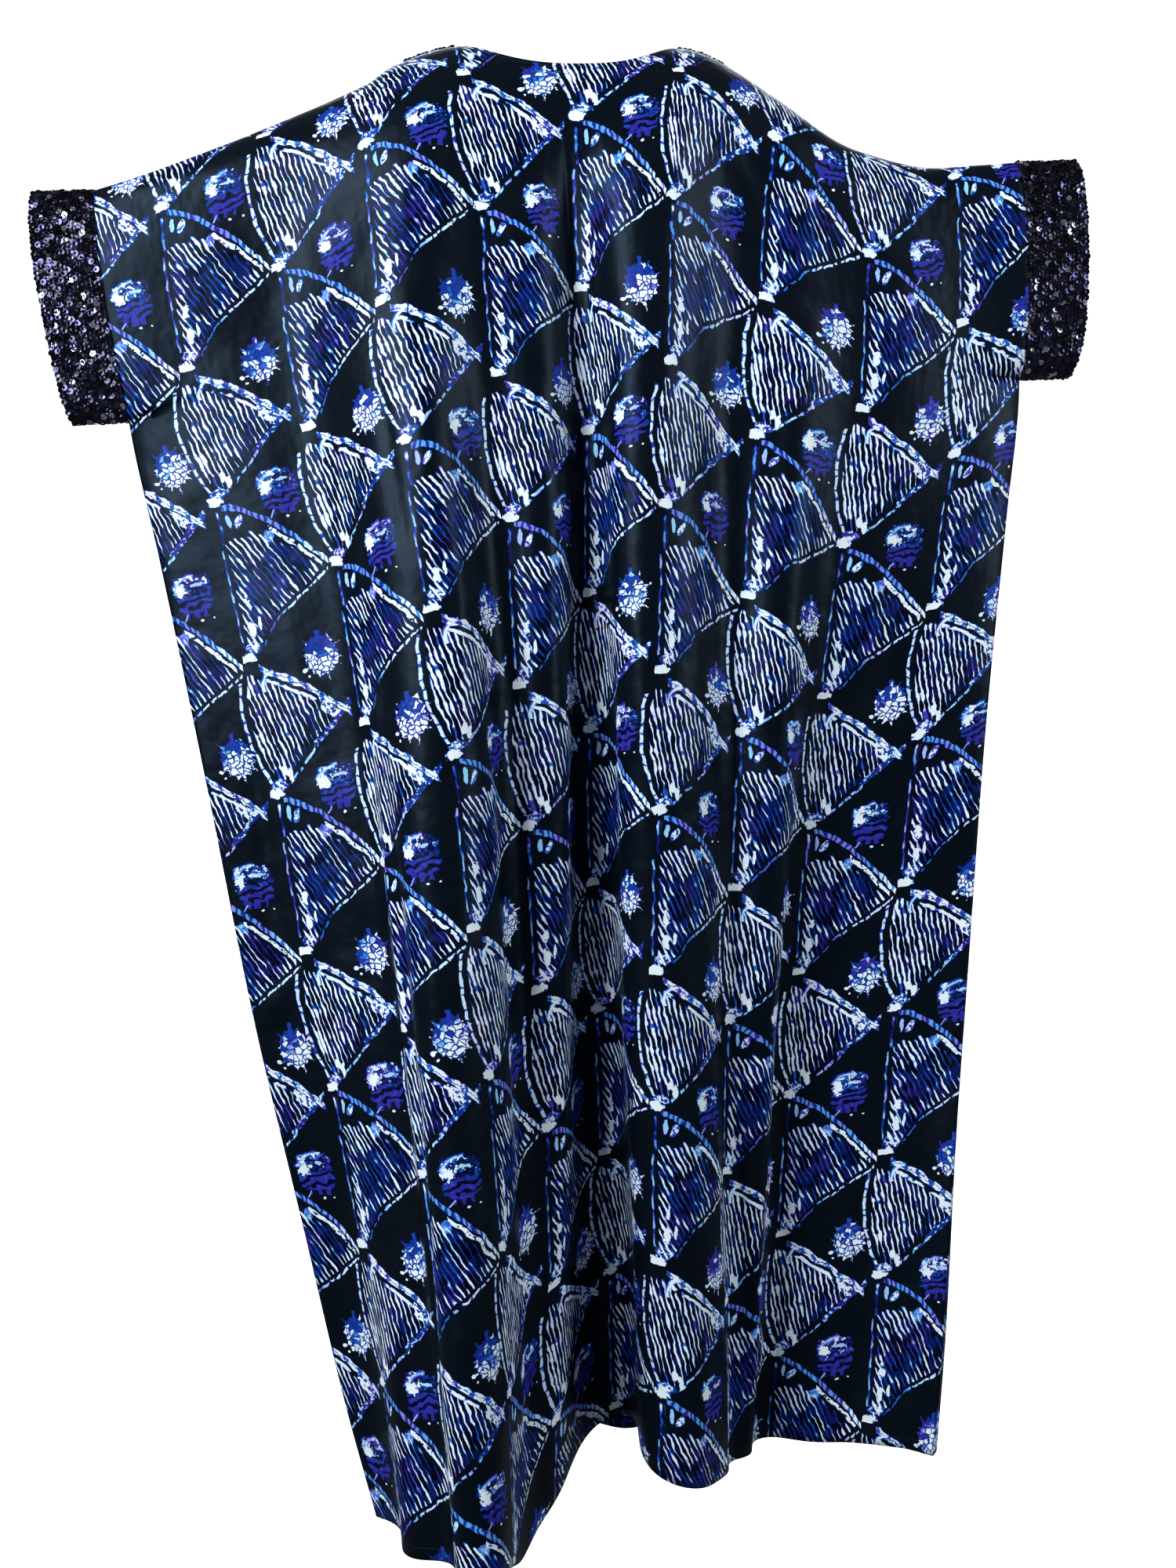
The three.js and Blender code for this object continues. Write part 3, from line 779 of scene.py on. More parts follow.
# Oval marks: where they are, half their width and height, how far the rim wanders,
# and their ink where the fine noise is low and where it is high.
OVAL_COLUMNS = "x y wide high ragged low_ink high_ink"
BROAD_OVALS = table(OVAL_COLUMNS, [
    (12.5, 107, 3.0, 5.0, 1.0, 1.00, 1.00),
    (18.0, 113, 2.6, 6.5, 1.0, 1.00, 1.00),
    (5.0, 121, 9.0, 5.0, 1.5, 0.40, 0.90),
    (0.0, 128, 7.5, 4.8, 1.4, 1.00, 1.00),
])
SLIM_OVALS = table(OVAL_COLUMNS, [
    (8.8, 15, 2.2, 7.5, 0.7, 0.78, 0.78),
    (9.0, 121, 3.4, 8.0, 1.2, 1.00, 1.00),
    (17.0, 117, 1.6, 7.0, 0.8, 1.00, 1.00),
    (6.0, 138, 9.0, 6.0, 1.8, 0.34, 0.94),
    (-1.0, 149, 8.5, 5.2, 1.4, 1.00, 1.00),
])

# The colours of the ink from 0 to 1, as a place on the ramp, red, green and blue.
CYAN_INKS = [
    (0.00, 0.0018, 0.0038, 0.0072), (0.07, 0.0003, 0.0008, 0.0050), (0.22, 0.0015, 0.0045, 0.052),
    (0.44, 0.008, 0.045, 0.38), (0.62, 0.03, 0.20, 0.72), (0.78, 0.34, 0.70, 0.94), (0.90, 0.90, 0.95, 0.97),
]
PURPLE_INKS = [
    (0.00, 0.0018, 0.0038, 0.0072), (0.07, 0.0004, 0.0008, 0.0052), (0.22, 0.0045, 0.004, 0.052),
    (0.44, 0.030, 0.028, 0.36), (0.62, 0.10, 0.11, 0.66), (0.80, 0.44, 0.58, 0.92), (0.92, 0.90, 0.95, 0.97),
]


def cell_position(u, v):
    """x and y from the nearest knot line. A column reaches BULGE to its left where
    its outline bows out, and takes in the last column's fan tips elsewhere."""
    shifted = u - (FIRST_KNOT - BULGE)
    number = (shifted / COLUMN).math("FLOOR")
    x = shifted - number * COLUMN - BULGE
    odd = number.wrap(0, 2)
    y = (v - odd * HALF_DROP).wrap(0, REPEAT)
    bowed = y.math("GREATER_THAN", BOW_START) * y.math("LESS_THAN", BOW_END)
    swap = x.math("LESS_THAN", TIP_START) * (1 - bowed)
    x = x + swap * COLUMN
    y = (y + swap * (odd * (2 * HALF_DROP) - HALF_DROP)).wrap(0, REPEAT)
    return x, y


def blob_position(u, v, place):
    """x and y from the nearest blob of one kind, whose place in the cell is given."""
    across, down = place
    shifted = u - (FIRST_KNOT + across - COLUMN / 2)
    number = (shifted / COLUMN).math("FLOOR")
    x = shifted - number * COLUMN - COLUMN / 2
    y = (v - number.wrap(0, 2) * HALF_DROP - down).wrap(-REPEAT / 2, REPEAT / 2)
    return x, y


def ridges(value, pitch, start=0.0):
    """The distance from the nearest of some lines that are pitch apart, in pitches."""
    return abs((value / pitch + start).wrap(-0.5, 0.5))


def beads(along, pitch, shake, low, high, soft):
    """1 on the beads of a string and 0 between them. shake moves them about."""
    return (along / pitch + shake).wrap(0, 1).within(low, high, soft)


def stripe_row(over, along, pitch):
    """The distance from the nearest stripe's middle, 0 there and 1 in the gap, and
    two slow numbers of that stripe's own, mostly from -0.5 to 0.5."""
    number = (over / pitch + 0.5).math("FLOOR")
    own = noise(position(number * 7.3, along / 17), scale=1.0, detail=1.5)
    thick, tone = split(own["Color"])
    return ridges(over, pitch) * 2, (thick - 0.5) * 2, (tone - 0.5) * 2


def oval(place, centre, size, rough=None, ragged=0.0):
    """An oval mark at a place in the cell. Its rim wanders with the rough field."""
    tree = place.id_data
    fit = new_node(tree, "VectorMath", operation="MULTIPLY_ADD", vector=place)
    fit.inputs[1].default_value = (1 / size[0], 1 / size[1], 0)
    fit.inputs[2].default_value = (-centre[0] / size[0], -centre[1] / size[1], 0)
    length = new_node(tree, "VectorMath", operation="LENGTH", vector=fit.outputs["Vector"])
    radius = Field(tree, length.outputs["Value"])
    if rough:
        radius = radius + rough.about(ragged)
    return radius.edge(1.12, 0.88)


def hoop(place, centre, outer, inner, rough, ragged):
    """A round line: a disc less a smaller disc."""
    hole = oval(place, centre, (inner, inner))
    return oval(place, centre, (outer, outer), rough, ragged) * (1 - hole)


def ovals(place, marks, fine):
    """All the marks of a table of ovals."""
    found = []
    for x, y, wide, high, ragged, low_ink, high_ink in zip(*marks.values()):
        ink = high_ink if low_ink == high_ink else fine.edge(0.46, 0.55, low_ink, high_ink)
        found.append(oval(place, (x, y), (wide, high), fine, ragged) * ink)
    return most(*found)


def broad_fan(x, y, rough, fine):
    """The wide fan: a lumpy band on top, wavy stripes, a beaded outline. top, low
    and left are the distances in from its three sides."""
    place = position(x, y)
    top = (y - (x * 0.0030 + 0.465) * x) * 0.81
    low = x * -0.66 - y * 0.752 + 101.9
    left = x - (y * 0.003468 - 0.3534) * y + 9
    body = left.edge(6.0, 7.2) * low.edge(6.0, 7.2) * (top + rough * 6).edge(13.6, 15.4) * y.edge(122, 119)
    gap, thick, tone = stripe_row(x - y * 0.235, y, BROAD_STRIPE_PITCH)
    patches = left.edge(26, 8) * rough.edge(0.50, 0.62, 0, 0.5)
    width = thick * 0.5 + patches + low.edge(26, 8, 0.27, 0.15)
    stripes = (gap - width).edge(0.20, -0.06) * tone.edge(-0.34, -0.12, 0.5, 1)
    stripes = most(stripes, rough.edge(0.51, 0.56, 0.07, 0.23)) * body
    lumps = beads(x, 13, fine * 0.8, 0.22, 0.9, 0.06) * 0.44 + 0.5
    band = (top + rough.about(6)).within(0.2, 6.2, 0.4) * x.within(7, 86) * lumps
    band = band * abs(top + fine.about(7) - 3.4).edge(0.2, 0.7, 0.5, 1)
    under = (top + rough.about(4)).within(9.2, 12.6, 0.4) * x.within(11, 66) * rough.edge(0.36, 0.46)
    curl = hoop(place, (20, 25), 14.4, 10.4, fine, 0.12) * x.within(0, 21) * y.within(0, 30)
    curl = curl * (rough * 0.7 + 0.6)
    tip = top.within(7, 17) * x.within(58, 84) * low.edge(3.4, 5) * fine.edge(0.46, 0.52, 0.38, 0.98)
    rim = (low + rough.about(5)).within(0.6, 6, 0.5) * x.within(46, 88) * fine.edge(0.52, 0.62, 0.34, 0.84)
    dashes = low.within(-0.4, 2.2, 0.3) * x.within(14, 50) * beads(x, 9, rough * 2.4, 0.2, 0.9, 0.05)
    dashes = dashes * (fine * 0.7 + 0.4)
    outline = left.within(-1.7, 1.5, 0.3) * y.within(10, 118)
    outline = outline * (beads(y, 11, rough * 2, 0.16, 0.94, 0.05) * 0.42 + 0.44)
    return most(stripes, band, under, curl, tip, rim, dashes, outline, ovals(place, BROAD_OVALS, fine))


def slim_fan(x, y, rough, fine):
    """The steep fan: a thin beaded arc, strokes and a bud under it, slanting
    stripes, white above and along the lower edge and blue between. arc and low are
    the distances in from its upper and its lower side."""
    place = position(x, y)
    reach = x.math("MAXIMUM", 0.5) / 92
    arc = (y - (reach ** 1.6) * 74) * 0.76
    low = ((x * -0.64 + 138.9).math("MAXIMUM", x * -1.3 + 162) - y) * 0.84
    gap, thick, tone = stripe_row(x - y * 0.5, y, SLIM_STRIPE_PITCH)
    body = x.edge(0.8, 2) * low.edge(3.8, 5) * (arc + rough * 7).edge(15.4, 17)
    body = body * (y + thick * 16).edge(33, 35)
    pale = y.edge(62, 52) * x.edge(44, 36) + low.edge(20, 8) * x.edge(22, 48) + x.edge(16, 9) * y.edge(56, 80)
    white = tone + pale.math("MINIMUM", 1.0) * 0.5
    width = thick * 0.45 + white.edge(0, 0.6, 0.17, 0.33)
    stripes = (gap - width).edge(0.20, -0.06) * white.edge(0.08, 0.34, 0.46, 1)
    stripes = most(stripes, rough.edge(0.48, 0.55, 0.07, 0.24)) * body
    thin_arc = (arc + fine.about(2)).within(-1.7, 2.8, 0.3) * x.within(5, 92)
    thin_arc = thin_arc * (beads(x, 5.5, rough * 2, 0.24, 0.86, 0.1) * 0.34 + x.edge(66, 82, 0.34, 0.64))
    white_arc = (arc + rough.about(5)).within(5.0, 9.2, 0.4) * x.within(44, 86) * fine.edge(0.36, 0.42)
    bud = oval(place, (42, 38), (5.2, 6), fine, 1.2) * (fine * 0.6 + 0.36)
    slanted = position(x + y * 0.45, y)
    drop = oval(slanted, (25, 18), (3.6, 6.2), fine, 1) * fine.edge(0.4, 0.56, 0.5, 1)
    strokes = ridges(x, 4.6, 0.1).edge(0.36, 0.22) * x.within(-3.5, 3) * y.within(5, 38, 2)
    strokes = strokes * (rough.edge(0.44, 0.56, 0.26, 0.66) + y.edge(16, 8, 0, 0.3))
    line = (x + 3.4).within(-1.1, 0.9, 0.3) * y.within(42, 134)
    line = line * (y / 21 + rough).wrap(0, 1).edge(0.3, 0.7, 0.42, 0.76)
    dashes = (low + fine.about(2)).within(-1, 1.4, 0.3) * x.within(16, 90)
    dashes = dashes * beads(x, 8, rough * 2.4, 0.14, 0.9, 0.05) * x.edge(30, 50, 0.56, 0.86)
    block = oval(place, (9, 98), (3.2, 7.5), fine, 1.8) * rough.edge(0.4, 0.5)
    marks = ovals(place, SLIM_OVALS, fine)
    return most(stripes, thin_arc, white_arc, bud, drop, strokes, line, dashes, block, marks)


def shards(place):
    """Torn cells: the distance to the crack beside them, and a random number each."""
    shape = {"voronoi_dimensions": "2D", "scale": 1 / SHARD_SIZE, "randomness": 1.0, "vector": place}
    tree = place.id_data
    crack = new_node(tree, "TexVoronoi", feature="DISTANCE_TO_EDGE", **shape)
    cell = new_node(tree, "TexVoronoi", **shape)
    return Field(tree, crack.outputs["Distance"]), split(cell.outputs["Color"])[0]


def burst(x, y, crack, chance, fine):
    """A round burst: thin spikes round it, torn shards, blue above, white below."""
    place = position(x, y)
    radius = (x * x * 1.25 + y * y * 0.85) ** 0.5
    angle = y.math("ARCTAN2", x) * (BURST_SPIKES / (2 * math.pi))
    spike = 1 - abs((angle + fine * 0.5).wrap(-0.5, 0.5)) * 2
    own = (angle.math("FLOOR") * 2.4).math("SINE") * 0.5 + 0.7
    body = (radius - (spike ** 3) * own * 6.5 + fine.about(5)).edge(17.2, 16.4)
    pale = ((x * 0.45 + y) * 0.03 + chance + fine.about(0.4)).edge(0.10, 0.48, 0.42, 0.98)
    tone = most(pale * crack.edge(0.05, 0.15), 0.34)
    horn = (abs(x + 1) + y * 0.1).edge(0.4, -0.6) * y.within(-24, -12) * 0.45
    dot = oval(place, (-17.5, 12), (2.4, 2)) + oval(place, (-14, 18), (1.2, 1.2))
    return most(body * tone, horn, dot)


def comb(x, y, crack, chance, rough, fine):
    """A comb: a white arch and a torn patch at its upper left, mottled blue with a
    lobed right edge, purple bars and drips below."""
    x = x * 0.8
    place = position(x, y)
    side = (x + ridges(y, 9, 0.2) * 6 + fine.about(4)).edge(16.5, 15.5) * (x + fine.about(5)).edge(-14, -13)
    body = side * (y + rough.about(6)).within(-18, 19, 0.6) * oval(place, (0, 0), (17, 25))
    flecks = (fine + chance * 0.3 - y * 0.008 - x * 0.006).edge(0.84, 0.90) * 0.9
    upper = most((chance * 0.4 + 0.22) * crack.edge(0.02, 0.16), flecks)
    bars = beads(y, 7, x * 0.03 + rough * 2, 0.2, 0.82, 0.08) * 0.36 + 0.06
    tone = upper + (bars + fine.about(0.3) - upper) * y.edge(-4, 4)
    cap = oval(place, (-9, -3), (4.5, 6), fine, 2.6)
    arch = hoop(place, (4, 0), 20, 16.5, fine, 0.15) * x.within(-20, 3) * y.within(-30, -6) * 0.95
    pearl = oval(place, (4, -8), (5, 1.6), fine, 2.4) * 0.8
    drips = (ridges(x, 7) + rough).edge(0.84, 0.7) * x.within(-10, 9) * y.within(15, 24) * 0.4
    stroke = (x + y * 0.6 - 5.5).within(-0.7, 0.7, 0.3) * y.within(20, 26) * 0.8
    dots = oval(place, (3, 27), (1.3, 1.2)) + oval(place, (12, 26), (0.8, 0.8))
    return most(body * tone, cap, arch, pearl, drips, stroke, dots)


def make_print():
    """The group takes a place on the flat cloth and how strongly the print shows
    there, and gives the cloth's colour."""
    tree, given, result = new_group(
        "Resist print", {"Cloth": "Vector", "Strength": "Float"}, {"Color": "Color"},
    )
    cloth = given["Cloth"]
    u, v = split(cloth)
    drift_x, drift_y = split(noise(cloth, scale=72.0, detail=2.0, roughness=0.5)["Color"])
    u = u * 1000 + drift_x.about(DRIFT)
    v = v * 1000 + drift_y.about(DRIFT) + u * ROW_SLANT + ROW_START
    grain = {"detail": 2.0, "roughness": 0.6}
    rough = cloud(cloth, scale=55.0, **grain)
    fine = cloud(cloth, scale=230.0, **grain)
    x, y = cell_position(u, v)
    steep = y.math("GREATER_THAN", BROAD_LENGTH)
    broad = broad_fan(x, y, rough, fine) * (1 - steep)
    slim = slim_fan(x, y - BROAD_LENGTH, rough, fine) * steep
    crack, chance = shards(position(u + rough * 14, v + fine * 4))
    bursts = burst(*blob_position(u, v, BURST_PLACE), crack, chance, fine)
    comb_x, comb_y = blob_position(u, v, COMB_PLACE)
    combs = comb(comb_x, comb_y, crack, chance, rough, fine)
    ink = most(broad + slim, bursts, combs) * Field(tree, given["Strength"])
    purple_bars = comb_y.within(4, 30, 4) * comb_x.within(-13, 15, 1)
    purple = most(cloud(cloth, scale=26.0, **grain).edge(0.50, 0.62), purple_bars)
    mix = new_node(
        tree, "Mix", data_type="RGBA",
        factor=purple, a=colour_ramp(ink, CYAN_INKS), b=colour_ramp(ink, PURPLE_INKS),
    )
    connect(result["Color"], mix.outputs["Result"])
    print("print group:", len(tree.nodes), "nodes")
    return tree


PRINT = make_print()

# %% [markdown]
# ## Satin
#
# Satin floats its threads over the surface, so it has a soft, broad gloss that runs
# down the folds. Its roughness is middling and drifts a little, and a very fine
# bump stands for the threads. The inside of the cloth shows the same print,
# fainter and without the gloss.

# %% Satin
SATIN_ROUGHNESS = 0.28
ROUGHNESS_DRIFT = 0.2
THREAD_HEIGHT = 0.00003
RUMPLE_HEIGHT = 0.0004
DENT_HEIGHT = 0.0030
SHEEN_TINT = (0.5, 0.7, 1.0, 1)


def make_surface():
    """Roughness and a bump height for woven satin, from a place on the cloth. The
    threads and the rumples are stretched down the cloth, along the warp."""
    tree, given, result = new_group(
        "Satin surface", {"Cloth": "Vector"}, {"Roughness": "Float", "Height": "Float"},
    )
    cloth = given["Cloth"]
    warp = new_node(tree, "Mapping", scale=(1.0, 0.22, 1.0), vector=cloth).outputs[0]
    cloudy = cloud(cloth, scale=17.0, detail=3.0)
    thread = cloud(warp, scale=1500.0, detail=1.0)
    rumple = cloud(warp, scale=60.0, detail=2.0)
    connect(result["Roughness"], cloudy * ROUGHNESS_DRIFT + SATIN_ROUGHNESS)
    height_sum = thread * THREAD_HEIGHT + rumple * RUMPLE_HEIGHT + cloudy * DENT_HEIGHT
    connect(result["Height"], height_sum)
    return tree


SURFACE = make_surface()


def satin_material(name, strength, roughness, specular):
    """A Principled satin. roughness None takes it from the surface group."""
    finish = {"Specular IOR Level": specular, "Specular Tint": SHEEN_TINT}
    material, tree, shader = new_material(name, finish)
    place = new_node(tree, "UVMap", uv_map="Cloth").outputs[0]
    picture = new_node(tree, "Group", node_tree=PRINT)
    connect(picture.inputs["Strength"], strength)
    surface = new_node(tree, "Group", node_tree=SURFACE)
    for group in (picture, surface):
        connect(group.inputs["Cloth"], place)
    bump = new_node(tree, "Bump", distance=1.0, strength=1.0, height=surface.outputs["Height"])
    connect(shader.inputs["Base Color"], picture.outputs["Color"])
    connect(shader.inputs["Normal"], bump.outputs[0])
    connect(shader.inputs["Roughness"], surface.outputs["Roughness"] if roughness is None else roughness)
    return material


satin = satin_material("Printed satin", 1.0, None, 0.12)
satin_reverse = satin_material("Satin reverse", 0.55, 0.7, 0.15)

# %% [markdown]
# ## The two panels
#
# Each panel is one shell with 301 columns and 151 rows. Its middle lies in the
# middle of the CAD wall, and at the seams it moves inward until the two panels
# touch, as sewn cloth does.

# %% Panels
SHELL = 0.7
WALL_MIDDLE = 0.8
SEAM_OFFSET = 0.22
SEAM_REACH = 9
SHOULDER_COLUMNS = 117
NECK_COLUMNS = 69
SLEEVE_ROWS = 34
BODY_ROWS = 118


def panel_places():
    """Columns of a panel: even on the shoulders and even along the neck."""
    shoulder = np.linspace(-HALF_WIDTH, -HALF_NECK, SHOULDER_COLUMNS)
    neck = np.linspace(-HALF_NECK, HALF_NECK, NECK_COLUMNS)
    return np.concatenate([shoulder, neck[1:-1], -shoulder[::-1]])


def panel_levels():
    """Rows of a panel: close together where the sleeve's end turns over."""
    underarm = SLEEVE_OPENING / cloth_length(np.array([HALF_WIDTH]))[0]
    sleeve = underarm * (1 - np.cos(np.linspace(0, np.pi, SLEEVE_ROWS))) / 2
    return np.concatenate([sleeve, np.linspace(underarm, 1, BODY_ROWS)[1:]])[:, None]


def make_panel(name, panel, creases, phase):
    """Returns the piece, and its points and normals for the sewing."""
    across, level = panel_places(), panel_levels()
    points = panel_points(panel, across, level)
    normals = outward_normals(points, panel["outward"])
    fall = fall_at(panel, across[None], level)
    to_seam = np.minimum(HALF_WIDTH - np.abs(across)[None], fall + 0 * across[None])
    offset = SEAM_OFFSET + (WALL_MIDDLE - SEAM_OFFSET) * ease(to_seam / SEAM_REACH)
    offset = offset + crease_depth(creases, across[None], fall)
    points = points + normals * offset[..., None]
    flat_u = -panel["outward"] * np.broadcast_to(across, fall.shape) + phase[0]
    flat_v = fall + cut_below(across)[None] + phase[1]
    uv = np.stack([flat_u, flat_v], -1).reshape(-1, 2)
    faces = grid_faces(*fall.shape, flipped=panel["outward"] > 0)
    piece = new_mesh(name, points.reshape(-1, 3), faces, uv)
    thicken(piece, SHELL, (satin, satin_reverse))
    return piece, {"across": across, "level": level[:, 0], "points": points, "normals": normals}


back_panel, back_grid = make_panel("Back_panel", BACK, BACK_CREASES, (0, 0))
front_panel, front_grid = make_panel("Front_panel", FRONT, FRONT_CREASES, (31, 118))
print("panel faces:", len(back_panel.data.polygons), len(front_panel.data.polygons))

# %% [markdown]
# ## The sequinned cuffs
#
# A cuff is a plain dark band with sequins sewn all over it in rows, each lapping
# over the next. A sequin is a shallow cup with a hole in the middle. They never lie
# quite flat, so most of them look black and a few catch the light. One array holds
# the points of all the sequins, from one small template.

# %% Cuffs
CUFFS = (
    {"name": "Cuff_left", "node": "cuff_left", "side": -1, "top": 62, "bottom": 58, "seed": 4},
    {"name": "Cuff_right", "node": "cuff_right", "side": 1, "top": 64, "bottom": 57, "seed": 9},
)
BAND_MIDDLE = 0.6
BAND_WALL = 0.6
BAND_ROWS = 14
BAND_COLUMNS = 144
BAND_START = 0.3
BAND_INSET = 1.2
# Rings of a sequin, from its hole to its rim: their radius and lift.
SEQUIN_RINGS = np.array([(0.5, -0.22), (1.5, -0.12), (2.8, 0.16), (2.95, 0.12)])
SEQUIN_PITCH = 4.9
SEQUIN_ROW = 0.87
SEQUIN_SIDES = 12
SEQUIN_TILT = 0.16
SEQUIN_LEAN = 0.07
SEQUIN_JITTER = 0.5
SEQUIN_LIFT = (1.2, 1.7)
SEQUIN_INSET = 1.6
ROW_JITTER = 0.12
ROW_ENDS = (0.03, 0.985)
RING_POINTS = 1440
WILD_SHARE = 0.12
WILD_TILT = 2.6


def sleeve_ring(side, turn):
    """Points round the sleeve's end, and the directions out of it. turn goes from 0
    at the shoulder line to pi at the underarm and on to two pi."""
    fall = SLEEVE_OPENING * (1 - np.cos(turn)) / 2
    edge = np.full_like(turn, side * HALF_WIDTH)
    level = fall / cloth_length(edge)
    free = ease(level / SHOULDER_ZONE)
    points = []
    for panel in (BACK, FRONT):
        x, out = side_point(panel, side, level)
        top_x = look_up(SHOULDER, "across", "x", edge)
        top_out = form_depth(panel, edge, level)
        y = panel["outward"] * (top_out + (out - top_out) * free)
        points.append(np.stack([top_x + (x - top_x) * free, y, height(panel, edge, level)], -1))
    ring = np.where((turn <= np.pi)[:, None], *points)
    along = np.roll(ring, -1, axis=0) - np.roll(ring, 1, axis=0)
    return ring, unit(np.stack([0 * turn, along[:, 2], -along[:, 1]], -1))


def cuff_reach(cuff, turn):
    """How far the cuff reaches outward, with its corners rounded off."""
    width = cuff["top"] + (cuff["bottom"] - cuff["top"]) * (1 - np.cos(turn)) / 2
    return width - CUFF_CORNER * np.abs(np.cos(turn)) ** 8


def sequin_template():
    """One sequin as rings of points: hole, middle and rim of a shallow cup."""
    angle = np.arange(SEQUIN_SIDES) * 2 * np.pi / SEQUIN_SIDES
    radius, lift = SEQUIN_RINGS[:, :1], SEQUIN_RINGS[:, 1:]
    cup = np.stack([radius * np.cos(angle), radius * np.sin(angle), lift + 0 * angle], -1)
    return cup.reshape(-1, 3), grid_faces(len(SEQUIN_RINGS), SEQUIN_SIDES, closed=True)


def make_band(cuff, materials):
    """The band lies on the sleeve's ring and runs straight out from it."""
    turn = np.linspace(0, 2 * np.pi, BAND_COLUMNS, endpoint=False)
    ring, out = sleeve_ring(cuff["side"], turn)
    reach = cuff_reach(cuff, turn)
    step = np.linspace(0, 1, BAND_ROWS)[:, None]
    band = (ring + out * BAND_MIDDLE)[None] + np.zeros((BAND_ROWS, 1, 3))
    band[..., 0] += cuff["side"] * (BAND_START + (reach - BAND_INSET) * step)
    length = np.cumsum(np.linalg.norm(np.diff(ring, axis=0, append=ring[:1]), axis=1))
    uv = np.stack(np.broadcast_arrays(length[None], reach[None] * step), -1).reshape(-1, 2)
    faces = grid_faces(BAND_ROWS, BAND_COLUMNS, flipped=cuff["side"] > 0, closed=True)
    piece = new_mesh(cuff["name"], band.reshape(-1, 3), faces, uv)
    return thicken(piece, BAND_WALL, materials)


def make_cuff_sequins(cuff):
    """Staggered rows of sequins round the band, each a little out of line."""
    random = np.random.default_rng(cuff["seed"])
    turn = np.linspace(0, 2 * np.pi, RING_POINTS, endpoint=False)
    ring, out = sleeve_ring(cuff["side"], turn)
    run = run_along(ring)
    round_count = int(run[-1] / SEQUIN_PITCH)
    rows = int(max(cuff["top"], cuff["bottom"]) / (SEQUIN_PITCH * SEQUIN_ROW))
    row, number = np.mgrid[0:rows, 0:round_count]
    along = (number + 0.5 * (row % 2)) / round_count * run[-1]
    along = np.clip(along + random.normal(0, SEQUIN_JITTER, row.shape), 0, run[-1]).ravel()
    place = np.interp(along, run, turn)
    share = (row + 0.55 + random.normal(0, ROW_JITTER, row.shape)) / rows
    share = np.clip(share, *ROW_ENDS).ravel()
    centre, facing = between(place, turn, ring), between(place, turn, out)
    centre[:, 0] += cuff["side"] * (BAND_START + share * (cuff_reach(cuff, place) - SEQUIN_INSET))
    centre = centre + facing * random.uniform(*SEQUIN_LIFT, len(centre))[:, None]
    side_way = np.array([1.0, 0.0, 0.0]) + 0 * facing
    return make_sequins(cuff["name"] + "_sequins", centre, facing, side_way, random)


def make_sequins(name, centre, facing, side_way, random):
    """One mesh with a sequin at each centre. facing points out of the cloth, and
    side_way lies in it. Each sequin is tipped a little, and a few are tipped far."""
    tilt = random.normal(0, SEQUIN_TILT, (len(centre), 2)) + np.array([0.0, SEQUIN_LEAN])
    wild = random.random(len(centre)) < WILD_SHARE
    tilt = np.where(wild[:, None], tilt * WILD_TILT, tilt)
    facing = unit(facing + side_way * tilt[:, :1] + np.cross(facing, side_way) * tilt[:, 1:])
    side_way = unit(side_way - facing * (side_way * facing).sum(1, keepdims=True))
    template, quads = sequin_template()
    points, faces = copies(template, quads, centre, (side_way, np.cross(facing, side_way), facing))
    # A random number for each sequin: it sets a violet cast, and for a few a pale silver foil that is a
    # painted glint.
    glint = np.repeat(random.random(len(centre)), len(quads))
    sequins = new_mesh(name, points, faces, values={"Glint": glint})
    sequins.data.materials.append(sequin_foil)
    print(name, len(centre), "sequins")
    return sequins


def plain_material(name, colour, roughness):
    """A woven or spun dark material: a little variation in tone and a fine bump."""
    material, tree, shader = new_material(name, {"Roughness": roughness, "Specular IOR Level": 0.4})
    coordinates = tree.nodes.new("ShaderNodeTexCoord")
    grain = new_node(tree, "TexNoise", scale=900, vector=coordinates.outputs["Object"]).outputs[0]
    tone = colour_ramp(Field(tree, grain), [
        (0.3, *(0.7 * c for c in colour)), (0.7, *(1.3 * c for c in colour)),
    ])
    bump = new_node(tree, "Bump", distance=0.0002, height=grain)
    connect(shader.inputs["Base Color"], tone)
    connect(shader.inputs["Normal"], bump.outputs[0])
    return material


def sequin_material():
    """Black foil: a dark metal, so only the sequins that face a light flash. Some
    have a violet cast. A few are a paler silver foil that stands in for glints: a painted glint."""
    material, tree, shader = new_material("Sequins", {"Metallic": 1.0, "Roughness": 0.13})
    glint = new_node(tree, "Attribute", attribute_name="Glint")
    # The top stops of the ramp turn a few sequins pale silver: a painted glint on the black foil.
    connect(shader.inputs["Base Color"], colour_ramp(Field(tree, glint.outputs["Fac"]), [
        (0.00, 0.022, 0.020, 0.030), (0.55, 0.040, 0.036, 0.062), (0.80, 0.060, 0.050, 0.13),
        (0.93, 0.09, 0.09, 0.17), (0.955, 0.2, 0.21, 0.26), (0.965, 0.80, 0.84, 0.9),
    ]))
    return material


cuff_cloths = (
    plain_material("Cuff backing", (0.008, 0.009, 0.014), 0.8),
    plain_material("Cuff reverse", (0.012, 0.013, 0.018), 0.85),
)
sequin_foil = sequin_material()
cuff_pieces = [(make_band(cuff, cuff_cloths), make_cuff_sequins(cuff)) for cuff in CUFFS]

# %% [markdown]
# ## Sewing
#
# The hem, the neck and the sleeve ends are turned and topstitched. A stitch is a
# short bead of thread. Its place on the cloth is looked up in the panel's grid, so
# the seams follow the folds without any fitting.

# %% Stitches
STITCH_PITCH = 3.4
STITCH_LENGTH = 2.5
STITCH_RADIUS = 0.17
STITCH_LIFT = 0.05
STITCH_SIDES = 6
